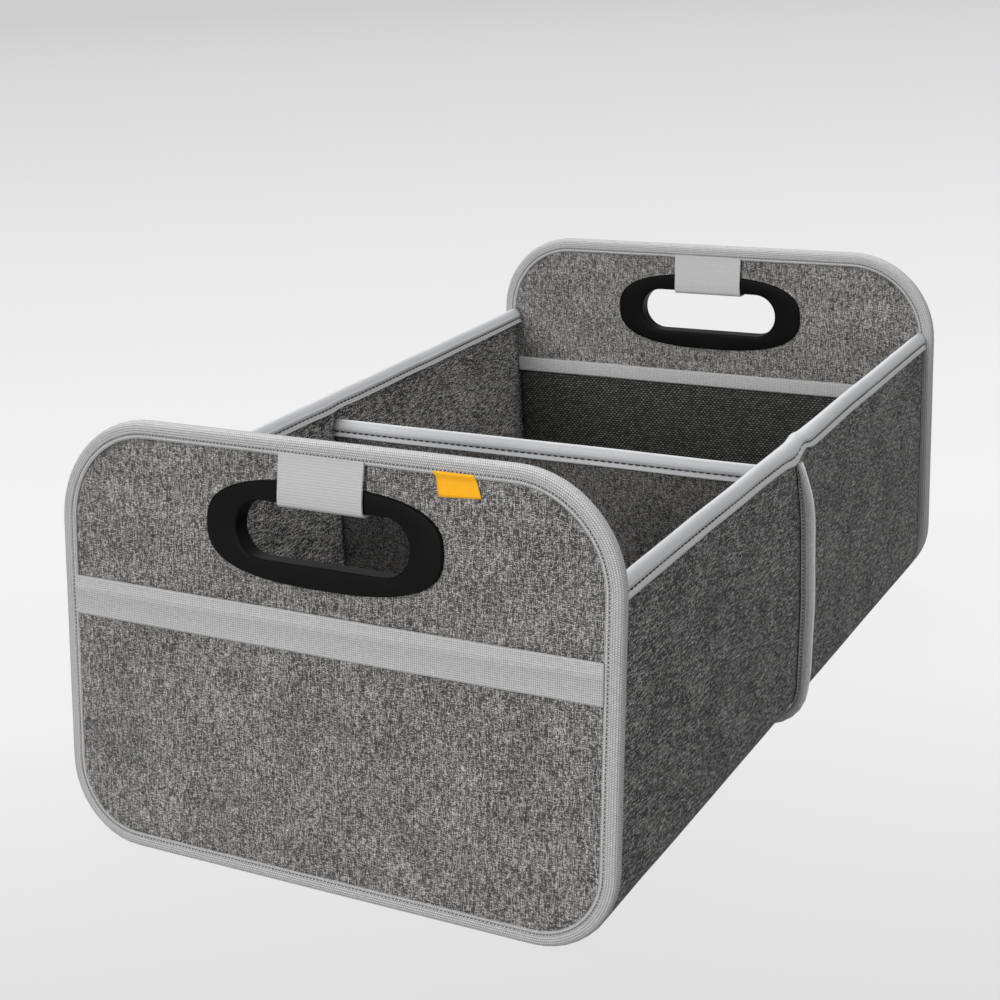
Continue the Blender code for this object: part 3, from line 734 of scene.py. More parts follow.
POCKET_TOP = 0.1440
POCKET_CLOTH = 0.0010
POCKET_EDGE = PANEL_TAPE_REACH - 0.0018
POCKET_BAND = 0.0205
BAND_TAPE = woven_tape("pocket_band", (0.56, 0.56, 0.56), (0.30, 0.30, 0.30), 0.0011, 0.00115,
                       0.3, stagger=0.0, streaks=0.12)
pocket_foot = POCKET_EDGE - FOOT_SINK
for end, place, right in ENDS:
    columns, rows = 84, 38

    def pocket(i, j):
        """The cloth stands a little proud between its sewn sides."""
        height = pocket_foot + (POCKET_TOP - 0.0006 - pocket_foot) * j / rows
        across = 2 * i / columns - 1
        x = across * half_width_at(height, POCKET_EDGE)
        full = (1 - across ** 6) * min(1.0, (height - pocket_foot) / 0.02)
        wave = 0.0004 * noise.noise(Vector((x * 14, height * 17, right * 4.4)))
        depth = PANEL_FACE + CLEARANCE + POCKET_CLOTH + (0.0004 + wave) * full
        return (x, -depth, height), (x + 0.7, height + 0.4)

    sheet = shaped_grid(columns, rows, pocket, place)
    turn_faces(sheet, place.to_3x3() @ Vector((0, -1, 0)))
    cloth = finish_piece(f"{end}_outer_pocket_sheet", sheet, PANEL_CLOTH,
                         nodes=[f"{end}_outer_pocket"])
    thicken(cloth, POCKET_CLOTH)

    band_half = WIDTH / 2 - PANEL_TAPE_REACH + 0.0006
    band_section = [(0.0, 0.0), (0.0, 0.0009), (0.0004, 0.0013), (0.0010, 0.0013),
                    (0.0058, 0.0013), (0.0061, 0.00142), (0.0064, 0.0013), (0.0072, 0.0013),
                    (0.0075, 0.00142), (0.0078, 0.0013), (POCKET_BAND - 0.0010, 0.0013),
                    (POCKET_BAND - 0.0004, 0.0013), (POCKET_BAND, 0.0009), (POCKET_BAND, 0.0)]
    columns = 80

    def band(i, j):
        """Flat tape with firm edges and two fine lines a third of the way down."""
        down, proud = band_section[j % len(band_section)]
        across = 2 * i / columns - 1
        x = across * band_half
        full = 1 - across ** 6
        wave = 0.0004 * noise.noise(Vector((x * 14, POCKET_TOP * 17, right * 4.4)))
        seat = PANEL_FACE + 2 * CLEARANCE + POCKET_CLOTH + (0.0004 + wave) * full
        height = POCKET_TOP - down + 0.0003 * noise.noise(Vector((x * 20, right, 2.0)))
        return (x, -seat - proud, height), (x, down)

    tape = shaped_grid(columns, len(band_section), band, place)
    bmesh.ops.remove_doubles(tape, verts=tape.verts[:], dist=0.000001)
    bmesh.ops.holes_fill(tape, edges=[edge for edge in tape.edges if edge.is_boundary])
    bmesh.ops.recalc_face_normals(tape, faces=tape.faces[:])
    strip = finish_piece(f"{end}_outer_band_tape", tape, BAND_TAPE,
                         nodes=[f"{end}_outer_band"], sharp=50)


# Net pockets. Inside each end panel a pocket of coarse near-black net reaches up to below the
# grip, with a narrow light grey band sewn along its mouth.

LINING_INSET = 0.0103
NET_TOP = 0.1395
NET = 0.0008
NET_BAND = 0.0100
NET_PITCH = 0.0029
NET_ROW = 0.0016

NET_CLOTH = new_finish("coarse_net", (0.02, 0.02, 0.02), 0.85)
net_flat = node(NET_CLOTH, "UVMap", uv_map="cloth")
net_parts = node(NET_CLOTH, "SeparateXYZ")
wire(NET_CLOTH, (net_flat.outputs["UV"], net_parts.inputs["Vector"]))
net_row = maths(NET_CLOTH, "DIVIDE", net_parts.outputs["Y"], NET_ROW)
net_shift = maths(NET_CLOTH, "MULTIPLY", maths(NET_CLOTH, "MODULO", maths(
    NET_CLOTH, "FLOOR", net_row), 2.0), 0.5)
net_column = maths(NET_CLOTH, "ADD", maths(NET_CLOTH, "DIVIDE", net_parts.outputs["X"], NET_PITCH),
                   net_shift)
net_x = maths(NET_CLOTH, "SUBTRACT", maths(NET_CLOTH, "FRACT", net_column), 0.5)
net_y = maths(NET_CLOTH, "SUBTRACT", maths(NET_CLOTH, "FRACT", net_row), 0.5)
net_far = maths(NET_CLOTH, "ADD", maths(NET_CLOTH, "MULTIPLY", net_x, net_x),
                maths(NET_CLOTH, "MULTIPLY", net_y, net_y))
# Every knot of the net is a little lighter or darker than the next
net_knot = node(NET_CLOTH, "CombineXYZ")
net_chance = node(NET_CLOTH, "TexWhiteNoise", noise_dimensions="2D")
wire(NET_CLOTH, (maths(NET_CLOTH, "FLOOR", net_column), net_knot.inputs["X"]),
     (maths(NET_CLOTH, "FLOOR", net_row), net_knot.inputs["Y"]),
     (net_knot.outputs["Vector"], net_chance.inputs["Vector"]))
net_dot = node(NET_CLOTH, "MapRange", interpolation_type="SMOOTHSTEP")
net_dot.inputs["From Min"].default_value = 0.26
net_dot.inputs["From Max"].default_value = 0.02
net_shades = node(NET_CLOTH, "ValToRGB")
net_shades.color_ramp.elements[0].color = (0.0025, 0.0025, 0.0025, 1)
net_shades.color_ramp.elements[1].color = (0.150, 0.147, 0.139, 1)
net_relief = node(NET_CLOTH, "Bump", Strength=0.6, Distance=0.0004)
net_shader = NET_CLOTH.node_tree.nodes["Principled BSDF"]
net_level = maths(NET_CLOTH, "MULTIPLY", net_dot.outputs["Result"],
                  maths(NET_CLOTH, "MULTIPLY_ADD", net_chance.outputs["Value"], 0.65, 0.35))
wire(NET_CLOTH, (net_far, net_dot.inputs["Value"]), (net_level, net_shades.inputs["Fac"]),
     (net_shades.outputs["Color"], net_shader.inputs["Base Color"]),
     (net_dot.outputs["Result"], net_relief.inputs["Height"]),
     (net_relief.outputs["Normal"], net_shader.inputs["Normal"]))

net_foot = LINING_INSET + CLEARANCE - FOOT_SINK
for end, place, right in ENDS:
    net_inset = LINING_INSET + CLEARANCE
    columns, rows = 70, 34

    def net(i, j):
        """The net hangs a little slack between its sewn edges."""
        height = net_foot + (NET_TOP - 0.0006 - net_foot) * j / rows
        across = 2 * i / columns - 1
        x = across * half_width_at(height, net_inset)
        slack = 0.0005 * (1 - across ** 4) * sin(pi * min(1.0, (height - net_foot) / 0.15))
        wave = 0.0003 * noise.noise(Vector((x * 20, height * 24, right * 9.1)))
        depth = PANEL_FACE + CLEARANCE + NET + slack + wave * (1 - across ** 6)
        return (x, depth, height), (x, height)

    sheet = shaped_grid(columns, rows, net, place)
    turn_faces(sheet, place.to_3x3() @ Vector((0, 1, 0)))
    cloth = finish_piece(f"{end}_net_sheet", sheet, NET_CLOTH,
                         nodes=[f"{end}_net_pocket"])
    thicken(cloth, NET)

    net_band_half = WIDTH / 2 - net_inset - 0.0002
    net_band_section = [(0.0, 0.0), (0.0, 0.0009), (0.0004, 0.0013), (0.0010, 0.0014),
                        (NET_BAND - 0.0010, 0.0014), (NET_BAND - 0.0004, 0.0013),
                        (NET_BAND, 0.0009), (NET_BAND, 0.0)]
    columns = 60

    def net_band(i, j):
        """Narrow folded tape along the mouth of the net."""
        down, proud = net_band_section[j % len(net_band_section)]
        x = (2 * i / columns - 1) * net_band_half
        sway = 0.0004 * noise.noise(Vector((x * 15, right * 2.2, 5.0)))
        seat = PANEL_FACE + 2 * CLEARANCE + NET + 0.0004
        return (x, seat + proud, NET_TOP - down + sway), (x, down)

    tape = shaped_grid(columns, len(net_band_section), net_band, place)
    bmesh.ops.remove_doubles(tape, verts=tape.verts[:], dist=0.000001)
    bmesh.ops.holes_fill(tape, edges=[edge for edge in tape.edges if edge.is_boundary])
    bmesh.ops.recalc_face_normals(tape, faces=tape.faces[:])
    strip = finish_piece(f"{end}_net_band_tape", tape, BAND_TAPE,
                         nodes=[f"{end}_net_band"], sharp=50)


# Trough. Side walls and floor are one padded U of the same melange cloth inside and out, made
# in a front and a rear half; each half is a single sheet that wraps the foam. The cloth is drawn
# darker than on the panels, as painted shade, and darker still on the outside.

WALL_INSET = 0.0055
TROUGH_RADIUS = 0.0220
TROUGH_CORNER = WALL_INSET + TROUGH_RADIUS
WALL_TOP = 0.1770
LAYER_TOP = WALL_TOP - 0.0018 - CLEARANCE
TROUGH_END = 0.0048
SEAM_Y = 0.0027
SHEET_CELL = 0.0075
HIDDEN_EDGE = 0.0040          # of the wall cloth, under its binding


def front_end_y(height, depth=TROUGH_END):
    """y of the leaning front panel's inner side, at a height."""
    return FRONT_Y + depth / cos(FRONT_LEAN) + height * tan(FRONT_LEAN)


def seam_bow(y, height, side):
    """The divider presses the walls outwards at the middle seam, the right one more."""
    upright = min(1.0, max(0.0, (height - 0.02) / 0.06))
    push = 0.0024 if side > 0 else -0.0006
    return push * upright * exp(-((y - SEAM_Y) / 0.055) ** 2)


def seam_y(height):
    """The seam leans forwards towards its top."""
    return SEAM_Y - 0.0087 * (min(0.0465, max(0.0, height - 0.120)) / 0.0465) ** 1.7


def trough_path(inset, top, step):
    """Stations down the left wall, across the floor and up the right wall."""
    radius = TROUGH_CORNER - inset
    side = WIDTH / 2 - inset
    corner = side - radius
    height = inset + radius
    stations = []

    def straight(start, stop, way):
        run = stations[-1][2] if stations else 0.0
        length = (stop - start).length
        pieces = max(1, ceil(length / step))
        for piece in range(1 if stations else 0, pieces + 1):
            stations.append((start.lerp(stop, piece / pieces), way, run + length * piece / pieces))

    def bend(x, start):
        run = stations[-1][2]
        pieces = max(6, ceil(radius * pi / 2 / step))
        for piece in range(1, pieces + 1):
            angle = start + pi / 2 * piece / pieces
            way = Vector((cos(angle), sin(angle)))
            stations.append((Vector((x, height)) + way * radius, way,
                             run + radius * pi / 2 * piece / pieces))

    straight(Vector((-side, top)), Vector((-side, height)), Vector((-1, 0)))
    bend(-corner, pi)
    straight(Vector((-corner, inset)), Vector((corner, inset)), Vector((0, -1)))
    bend(corner, -pi / 2)
    straight(Vector((side, height)), Vector((side, top)), Vector((1, 0)))
    return stations


# Painted shade: the trough's lining, also used for the flap sleeves, is a darker copy of the
# panels' melange, darker by the shade inside the trough; its sparser light streaks are the cloth's
# own.
TROUGH_SHADE_PAINTED_CLOTH = melange("trough_painted_shade_melange", (0.003, 0.003, 0.003), (0.050, 0.0490, 0.0475),
                     (0.86, 0.844, 0.822), (0.0006, 0.00042), (0.0022, 0.0060), 0.35)
# Painted shade: the walls' outer face is a darker copy again of the same cloth, for the shade on
# the outside of the right wall.
OUTER_SHADE_PAINTED_CLOTH = melange("outer_wall_painted_shade_melange", (0.002, 0.002, 0.002), (0.034, 0.0333, 0.0323),
                           (0.62, 0.608, 0.593), (0.0006, 0.00042), (0.0022, 0.0060), 0.35)
for layer, inset, outward, solid in (("outer", WALL_INSET, 1, "trough_cloth"),
                                     ("lining", LINING_INSET, -1, "lining")):
    path = trough_path(inset, LAYER_TOP - HIDDEN_EDGE, SHEET_CELL)
    for end in ("front", "rear"):
        rows = 30

        def wall(i, j):
            """Padded cloth: shallow swells over the foam, flat where it is sewn or lies down."""
            spot, way, run = path[i]
            seam = seam_y(spot.y) if outward > 0 else SEAM_Y
            near = front_end_y(spot.y) if end == "front" else seam + CLEARANCE / 2
            far = seam - CLEARANCE / 2 if end == "front" else REAR_Y - TROUGH_END
            share = j / rows
            y = near + (far - near) * share
            sewn = min(1.0, 6 * share, 6 * (1 - share)) * min(1.0, (LAYER_TOP - spot.y) / 0.03)
            swell = noise.noise(Vector((run * 11, y * 13, inset * 300)))
            swell += 0.5 * noise.noise(Vector((run * 26, y * 22, inset * 500)))
            upright = min(1.0, max(0.0, (spot.y - inset) / 0.03))
            proud = 0.0009 * swell * sewn * upright
            # Each half bows out a little, as padding does between the panel and the seam
            proud += 0.0006 * sin(pi * share) * upright * (1 if outward > 0 else -0.4)
            flat = spot + way * (outward * max(proud * outward, -0.0003))
            if outward > 0:
                flat.x += seam_bow(y, spot.y, spot.x)
            return (flat.x, y, flat.y), (y + inset * 20, run)

        sheet = shaped_grid(len(path) - 1, rows, wall)
        turn_faces(sheet, Vector((0, 0, -outward)))
        cloth = finish_piece(f"{end}_{layer}_wall_sheet", sheet,
                             OUTER_SHADE_PAINTED_CLOTH if layer == "outer" else TROUGH_SHADE_PAINTED_CLOTH,
                             nodes=[f"{end}_{solid}"])
        thicken(cloth, CLOTH)


# Middle seam. The two halves of the trough meet in a seam that is bound outside with the
# ribbed tape; it stands out from the walls as a fin and runs out under the wall bindings. Its
# tape is drawn much lighter than on the panels, as painted light on the shaded fin.

FIN_PROUD = 0.0078
FIN_TOP = WALL_TOP - 0.0105 - CLEARANCE
FIN_GROOVE = 0.0062
FIN_SECTION = fold_section(FIN_PROUD, 0.0006, 0.0016, FIN_GROOVE, rib_pitch=0.0018,
                           rib_height=0.00030, dip=0.0009)
# Painted light: the same ribbed tape as the panels' binding, drawn much lighter to brighten the
# fin, which stands in shade.
FIN_LIGHT_PAINTED_TAPE = woven_tape("seam_painted_light_tape", (0.92, 0.92, 0.92), (0.24, 0.24, 0.24), 0.0011, 0.0018, 0.6,
                      stagger=0.0)
fin_path = trough_path(WALL_INSET - CLEARANCE, FIN_TOP, 0.006)
FIN_TAPER = 0.030
FIN_LENGTH = fin_path[-1][2]


def fin_proud(spot, run):
    """How far the fin stands out: less at its two ends and round the lower corners."""
    near_end = min(run, FIN_LENGTH - run)
    proud = FIN_PROUD * (0.42 + 0.58 * sin(pi / 2 * min(1.0, near_end / FIN_TAPER)))
    return proud * (1 - 0.42 * min(1.0, max(0.0, (0.040 - spot.y) / 0.035)))


def fin(i, j):
    """Section point j at station i, lower where the fin runs out at its two ends."""
    spot, way, run = fin_path[i]
    inset, depth, across = FIN_SECTION[j % len(FIN_SECTION)]
    near_end = min(run, FIN_LENGTH - run)
    proud = fin_proud(spot, run)
    proud += 0.0005 * noise.noise(Vector((run * 22, 4.0, 0.5))) * min(1.0, near_end / 0.03)
    flat = spot + way * (proud * (1 - inset / FIN_PROUD))
    flat.x += seam_bow(SEAM_Y, spot.y, spot.x)
    sway = 0.0006 * noise.noise(Vector((run * 17, 8.0, 0.5))) * (1 - inset / FIN_PROUD)
    height = max(flat.y, 0.0)
    return (flat.x, seam_y(spot.y) + depth + sway, height), (run, across)


tape = shaped_grid(len(fin_path) - 1, len(FIN_SECTION), fin)
bmesh.ops.remove_doubles(tape, verts=tape.verts[:], dist=0.000001)
bmesh.ops.holes_fill(tape, edges=[edge for edge in tape.edges if edge.is_boundary])
bmesh.ops.recalc_face_normals(tape, faces=tape.faces[:])
finish_piece("seam_fin_tape", tape, FIN_LIGHT_PAINTED_TAPE, nodes=["seam_fin"])

stitches = []
for spot, way, run, ahead in along_path(fin_path, 0.0023):
    if min(run, FIN_LENGTH - run) < 0.004 or spot.y < 0.012:
        continue
    flat = spot + way * (fin_proud(spot, run) * (1 - FIN_GROOVE / FIN_PROUD))
    flat.x += seam_bow(SEAM_Y, spot.y, spot.x)
    for out in (-1, 1):
        stitches.append((Vector((flat.x, seam_y(spot.y) + out * 0.00165, flat.y)),
                         Vector((ahead.x, 0, ahead.y))))
sew("seam_fin_stitches", stitches, 0.0017, 0.00034, THREAD)


# Wall bindings. The top edge of each side wall is bound with the same tape, folded and padded
# to a full roll. The seam in the middle lifts it slightly. Sewn with dark thread.

WALL_MIDDLE = 0.1521
TOP_REACH = 0.0105
TOP_TAPE = 0.0018
TOP_GROOVE = 0.0070
WALL_LEGS = {"left": (0.0107, 0.0037, 0.0009, 0.0074),
             "right": (0.0102, 0.0030, 0.0009, 0.0068)}
ROLL_SHAPE = {"rib_height": 0.0, "dip": 0.0009, "lip": 0.0004, "flare": 0.0012, "crest": 0.0027}
ROLL_TAPE = woven_tape("roll_tape", (0.56, 0.565, 0.575), (0.44, 0.445, 0.455), 0.0007, 0.0035,
                       0.15)
WALL_STITCH_PITCH = 0.0042


def seam_lift(y, side):
    """The roll rides up over the middle seam, and the right one a little towards the rear."""
    if side == "left":
        return -0.0010
    share = (y - FRONT_Y) / (REAR_Y - FRONT_Y)
    return 0.0012 + 0.0010 * share + 0.0014 * exp(-((y - SEAM_Y) / 0.006) ** 2)


def seam_pull(y, side):
    """The seam tugs at the stitches: lower before it, higher behind it."""
    before, behind = (y - SEAM_Y + 0.013) / 0.009, (y - SEAM_Y - 0.004) / 0.008
    return (0.20 * exp(-before ** 2) - 0.26 * exp(-behind ** 2)) * (1 if side == "right" else 0.2)


for side, middle in (("left", -WALL_MIDDLE + 0.0008), ("right", WALL_MIDDLE)):
    stations = 130
    section = fold_section(*WALL_LEGS[side], **ROLL_SHAPE)

    def roll(i, j):
        """Section point j, station i from the front panel to the rear panel."""
        inset, depth, across = section[j % len(section)]
        height = WALL_TOP - inset
        near, far = front_end_y(height, TROUGH_END - 0.0004), REAR_Y - TROUGH_END + 0.0004
        y = near + (far - near) * i / stations
        sway = 0.0005 * noise.noise(Vector((y * 18, middle * 9, 1.5)))
        full = 1 + 0.04 * noise.noise(Vector((y * 35, middle * 7, depth * 120)))
        lift = seam_lift(y, side) + 0.0004 * noise.noise(Vector((y * 25, middle * 5, 3.3)))
        lift -= 0.5 * seam_lift(y, side) * inset / TOP_REACH
        lift -= inset * seam_pull(y, side)
        outer = min(1.0, max(0.0, 0.5 + depth * (1 if middle > 0 else -1) / 0.006))
        pushed = middle + (0.1 + 0.7 * outer) * seam_bow(y, height, middle)
        return (pushed + depth * full + sway, y, height + lift), (y, across)

    tape = shaped_grid(stations, len(section), roll)
    bmesh.ops.remove_doubles(tape, verts=tape.verts[:], dist=0.000001)
    bmesh.ops.holes_fill(tape, edges=[edge for edge in tape.edges if edge.is_boundary])
    bmesh.ops.recalc_face_normals(tape, faces=tape.faces[:])
    finish_piece(f"{side}_wall_tape", tape, ROLL_TAPE,
                 nodes=[f"{side}_wall_binding"])

    stitches = []
    for out in (-1, 1):
        _, half_gap, leg_tape, groove = WALL_LEGS[side]
        height = WALL_TOP - groove
        near, far = front_end_y(height), REAR_Y - TROUGH_END
        count = round((far - near) / WALL_STITCH_PITCH)
        for number in range(count):
            y = near + (far - near) * (number + 0.5) / count
            sway = 0.0005 * noise.noise(Vector((y * 18, middle * 9, 1.5)))
            sewn = out * (half_gap + leg_tape - 0.0007)
            lift = 0.7 * seam_lift(y, side) - groove * seam_pull(y, side)
            pushed = middle + (0.8 if out * middle > 0 else 0.1) * seam_bow(y, height, middle)
            stitches.append((Vector((pushed + sewn + sway, y, height + lift)), Vector((0, 1, 0))))
    sew(f"{side}_wall_stitches", stitches, 0.0036, 0.00055, THREAD)


# Divider. One upright board, covered with the melange cloth and bound along its top, stands on
# the middle seam and splits the trough in two. Its cloth is drawn darker than the panels', as
# painted shade.

DIVIDER_TOP = 0.1595
DIVIDER_FACE = 0.0027
DIVIDER_EDGE = LINING_INSET + CLEARANCE
DIVIDER_FOOT = LINING_INSET + CLEARANCE
divider_cloth_top = DIVIDER_TOP - TOP_TAPE - CLEARANCE - 0.0015
# Painted shade: a darker copy of the panels' melange, for the shade that falls on the divider
# between the end panels.
DIVIDER_SHADE_PAINTED_CLOTH = melange("divider_painted_shade_melange", (0.007, 0.0069, 0.0067), (0.068, 0.066, 0.064),
                        (0.42, 0.41, 0.40), (0.00042, 0.00044), (0.0032, 0.0028), 0.0)
for side, outward in (("front", -1), ("rear", 1)):
    columns, rows = 74, 36

    def divider_cloth(i, j):
        """Cloth over the board, in round lower corners that follow the trough."""
        height = DIVIDER_FOOT + (divider_cloth_top - DIVIDER_FOOT) * j / rows
        radius = TROUGH_CORNER - DIVIDER_EDGE
        rise = min(height - DIVIDER_FOOT, radius)
        half = WIDTH / 2 - DIVIDER_EDGE - radius + max(radius ** 2 - (radius - rise) ** 2, 0) ** 0.5
        x = (2 * i / columns - 1) * half
        wave = 0.0003 * (1 + noise.noise(Vector((x * 16, height * 19, outward * 6.0))))
        return (x, SEAM_Y + outward * (DIVIDER_FACE + wave * 0.6), height), (x + outward, height)

    sheet = shaped_grid(columns, rows, divider_cloth)
    turn_faces(sheet, Vector((0, outward, 0)))
    cloth = finish_piece(f"divider_{side}_sheet", sheet, DIVIDER_SHADE_PAINTED_CLOTH,
                         nodes=[f"divider_{side}_cloth"])
    thicken(cloth, CLOTH)

DIVIDER_TAPE = 0.0013
DIVIDER_REACH = 0.0102
DIVIDER_SECTION = fold_section(DIVIDER_REACH, DIVIDER_FACE + CLEARANCE, DIVIDER_TAPE, TOP_GROOVE,
                               **ROLL_SHAPE)
DIVIDER_STITCH_PITCH = 0.0044
divider_half = WIDTH / 2 - LINING_INSET - CLEARANCE
stations = 64


def divider_roll(i, j):
    """Section point j, station i from the left wall to the right wall."""
    inset, depth, across = DIVIDER_SECTION[j % len(DIVIDER_SECTION)]
    x = (2 * i / stations - 1) * divider_half
    sway = 0.0004 * noise.noise(Vector((x * 18, 7.7, 1.5)))
    full = 1 + 0.04 * noise.noise(Vector((x * 35, 5.5, depth * 120)))
    lift = 0.0005 * noise.noise(Vector((x * 14, 2.0, 3.3)))
    return (x, SEAM_Y + depth * full + sway, DIVIDER_TOP - inset + lift), (x, across)


tape = shaped_grid(stations, len(DIVIDER_SECTION), divider_roll)
bmesh.ops.remove_doubles(tape, verts=tape.verts[:], dist=0.000001)
bmesh.ops.holes_fill(tape, edges=[edge for edge in tape.edges if edge.is_boundary])
bmesh.ops.recalc_face_normals(tape, faces=tape.faces[:])
finish_piece("divider_tape", tape, ROLL_TAPE, nodes=["divider_binding"])
stitches = []
count = round(2 * divider_half / DIVIDER_STITCH_PITCH)
for number in range(count):
    x = (2 * (number + 0.5) / count - 1) * divider_half
    sway = 0.0004 * noise.noise(Vector((x * 18, 7.7, 1.5)))
    for out in (-1, 1):
        sewn = out * (DIVIDER_FACE + CLEARANCE + DIVIDER_TAPE - 0.0007)
        stitch_spot = Vector((x, SEAM_Y + sewn + sway, DIVIDER_TOP - TOP_GROOVE))
        stitches.append((stitch_spot, Vector((1, 0, 0))))
sew("divider_stitches", stitches, 0.0036, 0.00055, THREAD)


# Base flaps. A board in a sleeve of the melange cloth covers the floor of each half and lifts
# about its end at the panel. The sleeve is closed on three sides by an edge seam.

FLAP_HALF = 0.1335
FLAP_LENGTH = 0.2240
FLAP_BOTTOM = 0.0106
FLAP_TOP = 0.0157
FLAP_CORNER = 0.006
FRONT_HINGE_Y = front_end_y(FLAP_TOP)
REAR_HINGE_Y = REAR_Y - TROUGH_END
FLAP_SEAM = 0.0045


def flap_outline(step, inset):
    """Point of the flap's round-cornered outline, 4 * 7 steps round, in from it by inset."""
    quarter, place_in = divmod(step % 28, 7)
    angle = quarter * pi / 2 + pi / 2 * place_in / 6
    x_side = (1, -1, -1, 1)[quarter]
    y_side = (1, 1, -1, -1)[quarter]
    radius = max(FLAP_CORNER - inset, 0.0002)
    x = x_side * (FLAP_HALF - inset - radius) + radius * cos(angle)
    y = y_side * (FLAP_LENGTH / 2 - inset - radius) + radius * sin(angle) + FLAP_LENGTH / 2
    return x, y


for end, hinge_y, ahead, body in (("front", FRONT_HINGE_Y, 1, "front_base_flap"),
                                  ("rear", REAR_HINGE_Y, -1, "rear_base_flap")):
    middle_z = (FLAP_BOTTOM + FLAP_TOP) / 2
    half_thick = (FLAP_TOP - FLAP_BOTTOM) / 2
    # In from the outline, and height from the middle: rounded side, then the seam's groove
    half_section = [(0.0, 0.0), (0.0002, 0.45), (0.0008, 0.62), (FLAP_SEAM - 0.0006, 0.66),
                    (FLAP_SEAM, 0.58), (FLAP_SEAM + 0.0006, 0.70), (FLAP_SEAM + 0.003, 0.97),
                    (FLAP_SEAM + 0.005, 1.0), (0.030, 1.0)]
    section = [(inset, -level) for inset, level in half_section[::-1]] + half_section[1:]

    def sleeve(i, j):
        """Loop i round the flap, section point j from its underside over the edge to its top."""
        inset, level = section[j]
        x, y = flap_outline(i, inset)
        return ((x * ahead, hinge_y + y * ahead, middle_z + level * half_thick), (x, y))

    cover = shaped_grid(28, len(section) - 1, sleeve)
    bmesh.ops.remove_doubles(cover, verts=cover.verts[:], dist=0.000001)
    bmesh.ops.holes_fill(cover, edges=[edge for edge in cover.edges if edge.is_boundary])
    flat = cover.loops.layers.uv["cloth"]
    for face in cover.faces:
        for loop in face.loops:
            loop[flat].uv = (loop.vert.co.x + loop.vert.co.z, loop.vert.co.y + loop.vert.co.z)
    bmesh.ops.recalc_face_normals(cover, faces=cover.faces[:])
    # The sleeve takes the trough's cloth, with its painted shade.
    finish_piece(f"{end}_flap_cover", cover, TROUGH_SHADE_PAINTED_CLOTH, body=body,
                 nodes=[f"{end}_flap_sleeve"], sharp=50)
    stitches = []
    for level in (-1, 1):
        loop_points = [Vector((*flap_outline(step, FLAP_SEAM), 0.0)) for step in range(29)]
        for one, other in zip(loop_points, loop_points[1:]):
            count = max(1, round((other - one).length / 0.0034))
            for number in range(count):
                spot = one.lerp(other, (number + 0.5) / count)
                way = Vector(((other - one).x * ahead, (other - one).y * ahead, 0)).normalized()
                z = middle_z + level * (half_thick * 0.58 + 0.00015)
                stitches.append((Vector((spot.x * ahead, hinge_y + spot.y * ahead, z)), way))
    sew(f"{end}_flap_stitches", stitches, 0.0024, 0.00022, THREAD, body=body)


# Tag. A small bare tag of yellow woven tape is caught under the top binding of the front panel
# and lies on the cloth, slightly askew.

TAG_CORNERS = (Vector((0.0637, 0.2222)), Vector((0.0847, 0.2222)),
               Vector((0.0884, 0.2113)), Vector((0.0659, 0.2099)))
TAG_CLOTH = woven_tape("yellow_tag_cloth", (1.0, 0.50, 0.016), (0.92, 0.40, 0.008),
                       0.0005, 0.0005, 0.2)
columns, rows = 14, 8


def tag(i, j):
    """Lies over the selvedge at its top, then down on the cloth, its foot lifted a little."""
    u, v = i / columns, j / rows
    upper = TAG_CORNERS[0].lerp(TAG_CORNERS[1], u)
    lower = TAG_CORNERS[3].lerp(TAG_CORNERS[2], u)
    spot = upper.lerp(lower, v)
    over = max(0.0, min(1.0, (spot.y - 0.2190) / 0.0015))
    depth = PANEL_FACE + CLEARANCE + 0.0006 + 0.0013 * over * over * (3 - 2 * over)
    depth += 0.0004 * v * v + 0.0002 * sin(pi * u)
    return (spot.x, -depth, spot.y), (u * 0.0225, v * 0.0105)


label = shaped_grid(columns, rows, tag, FRONT_PLACE)
turn_faces(label, FRONT_PLACE.to_3x3() @ Vector((0, -1, 0)))
tag_piece = finish_piece("yellow_tag_sheet", label, TAG_CLOTH, nodes=["yellow_tag"])
thicken(tag_piece, 0.0005)


# Floor, light and camera. A pale studio floor that greys towards its far edge, its brightness
# painted light, highest just behind the organizer; three soft lamps, in front, high behind and at
# the right, and plain light from all round.

bpy.context.scene.view_settings.view_transform = "Standard"

floor_work = bmesh.new()
bmesh.ops.create_grid(floor_work, x_segments=8, y_segments=8, size=30)
floor_mesh = bpy.data.meshes.new("studio_floor")
floor_work.to_mesh(floor_mesh)
floor_work.free()
floor = bpy.data.objects.new("studio_floor", floor_mesh)
bpy.context.scene.collection.objects.link(floor)
floor.location.z = -0.0004
FLOOR_FINISH = new_finish("pale_floor", (0.8, 0.8, 0.8), 0.9)
floor_shader = FLOOR_FINISH.node_tree.nodes["Principled BSDF"]
floor_shader.inputs["Specular IOR Level"].default_value = 0.0
floor_place = node(FLOOR_FINISH, "TexCoord")
floor_parts = node(FLOOR_FINISH, "SeparateXYZ")
# Distance along the floor, away from the camera's side, from 0 in front to 1 far behind
floor_span = node(FLOOR_FINISH, "MapRange")
floor_span.inputs["From Min"].default_value = -0.35
floor_span.inputs["From Max"].default_value = 7.10
floor_painted_light = node(FLOOR_FINISH, "ValToRGB")
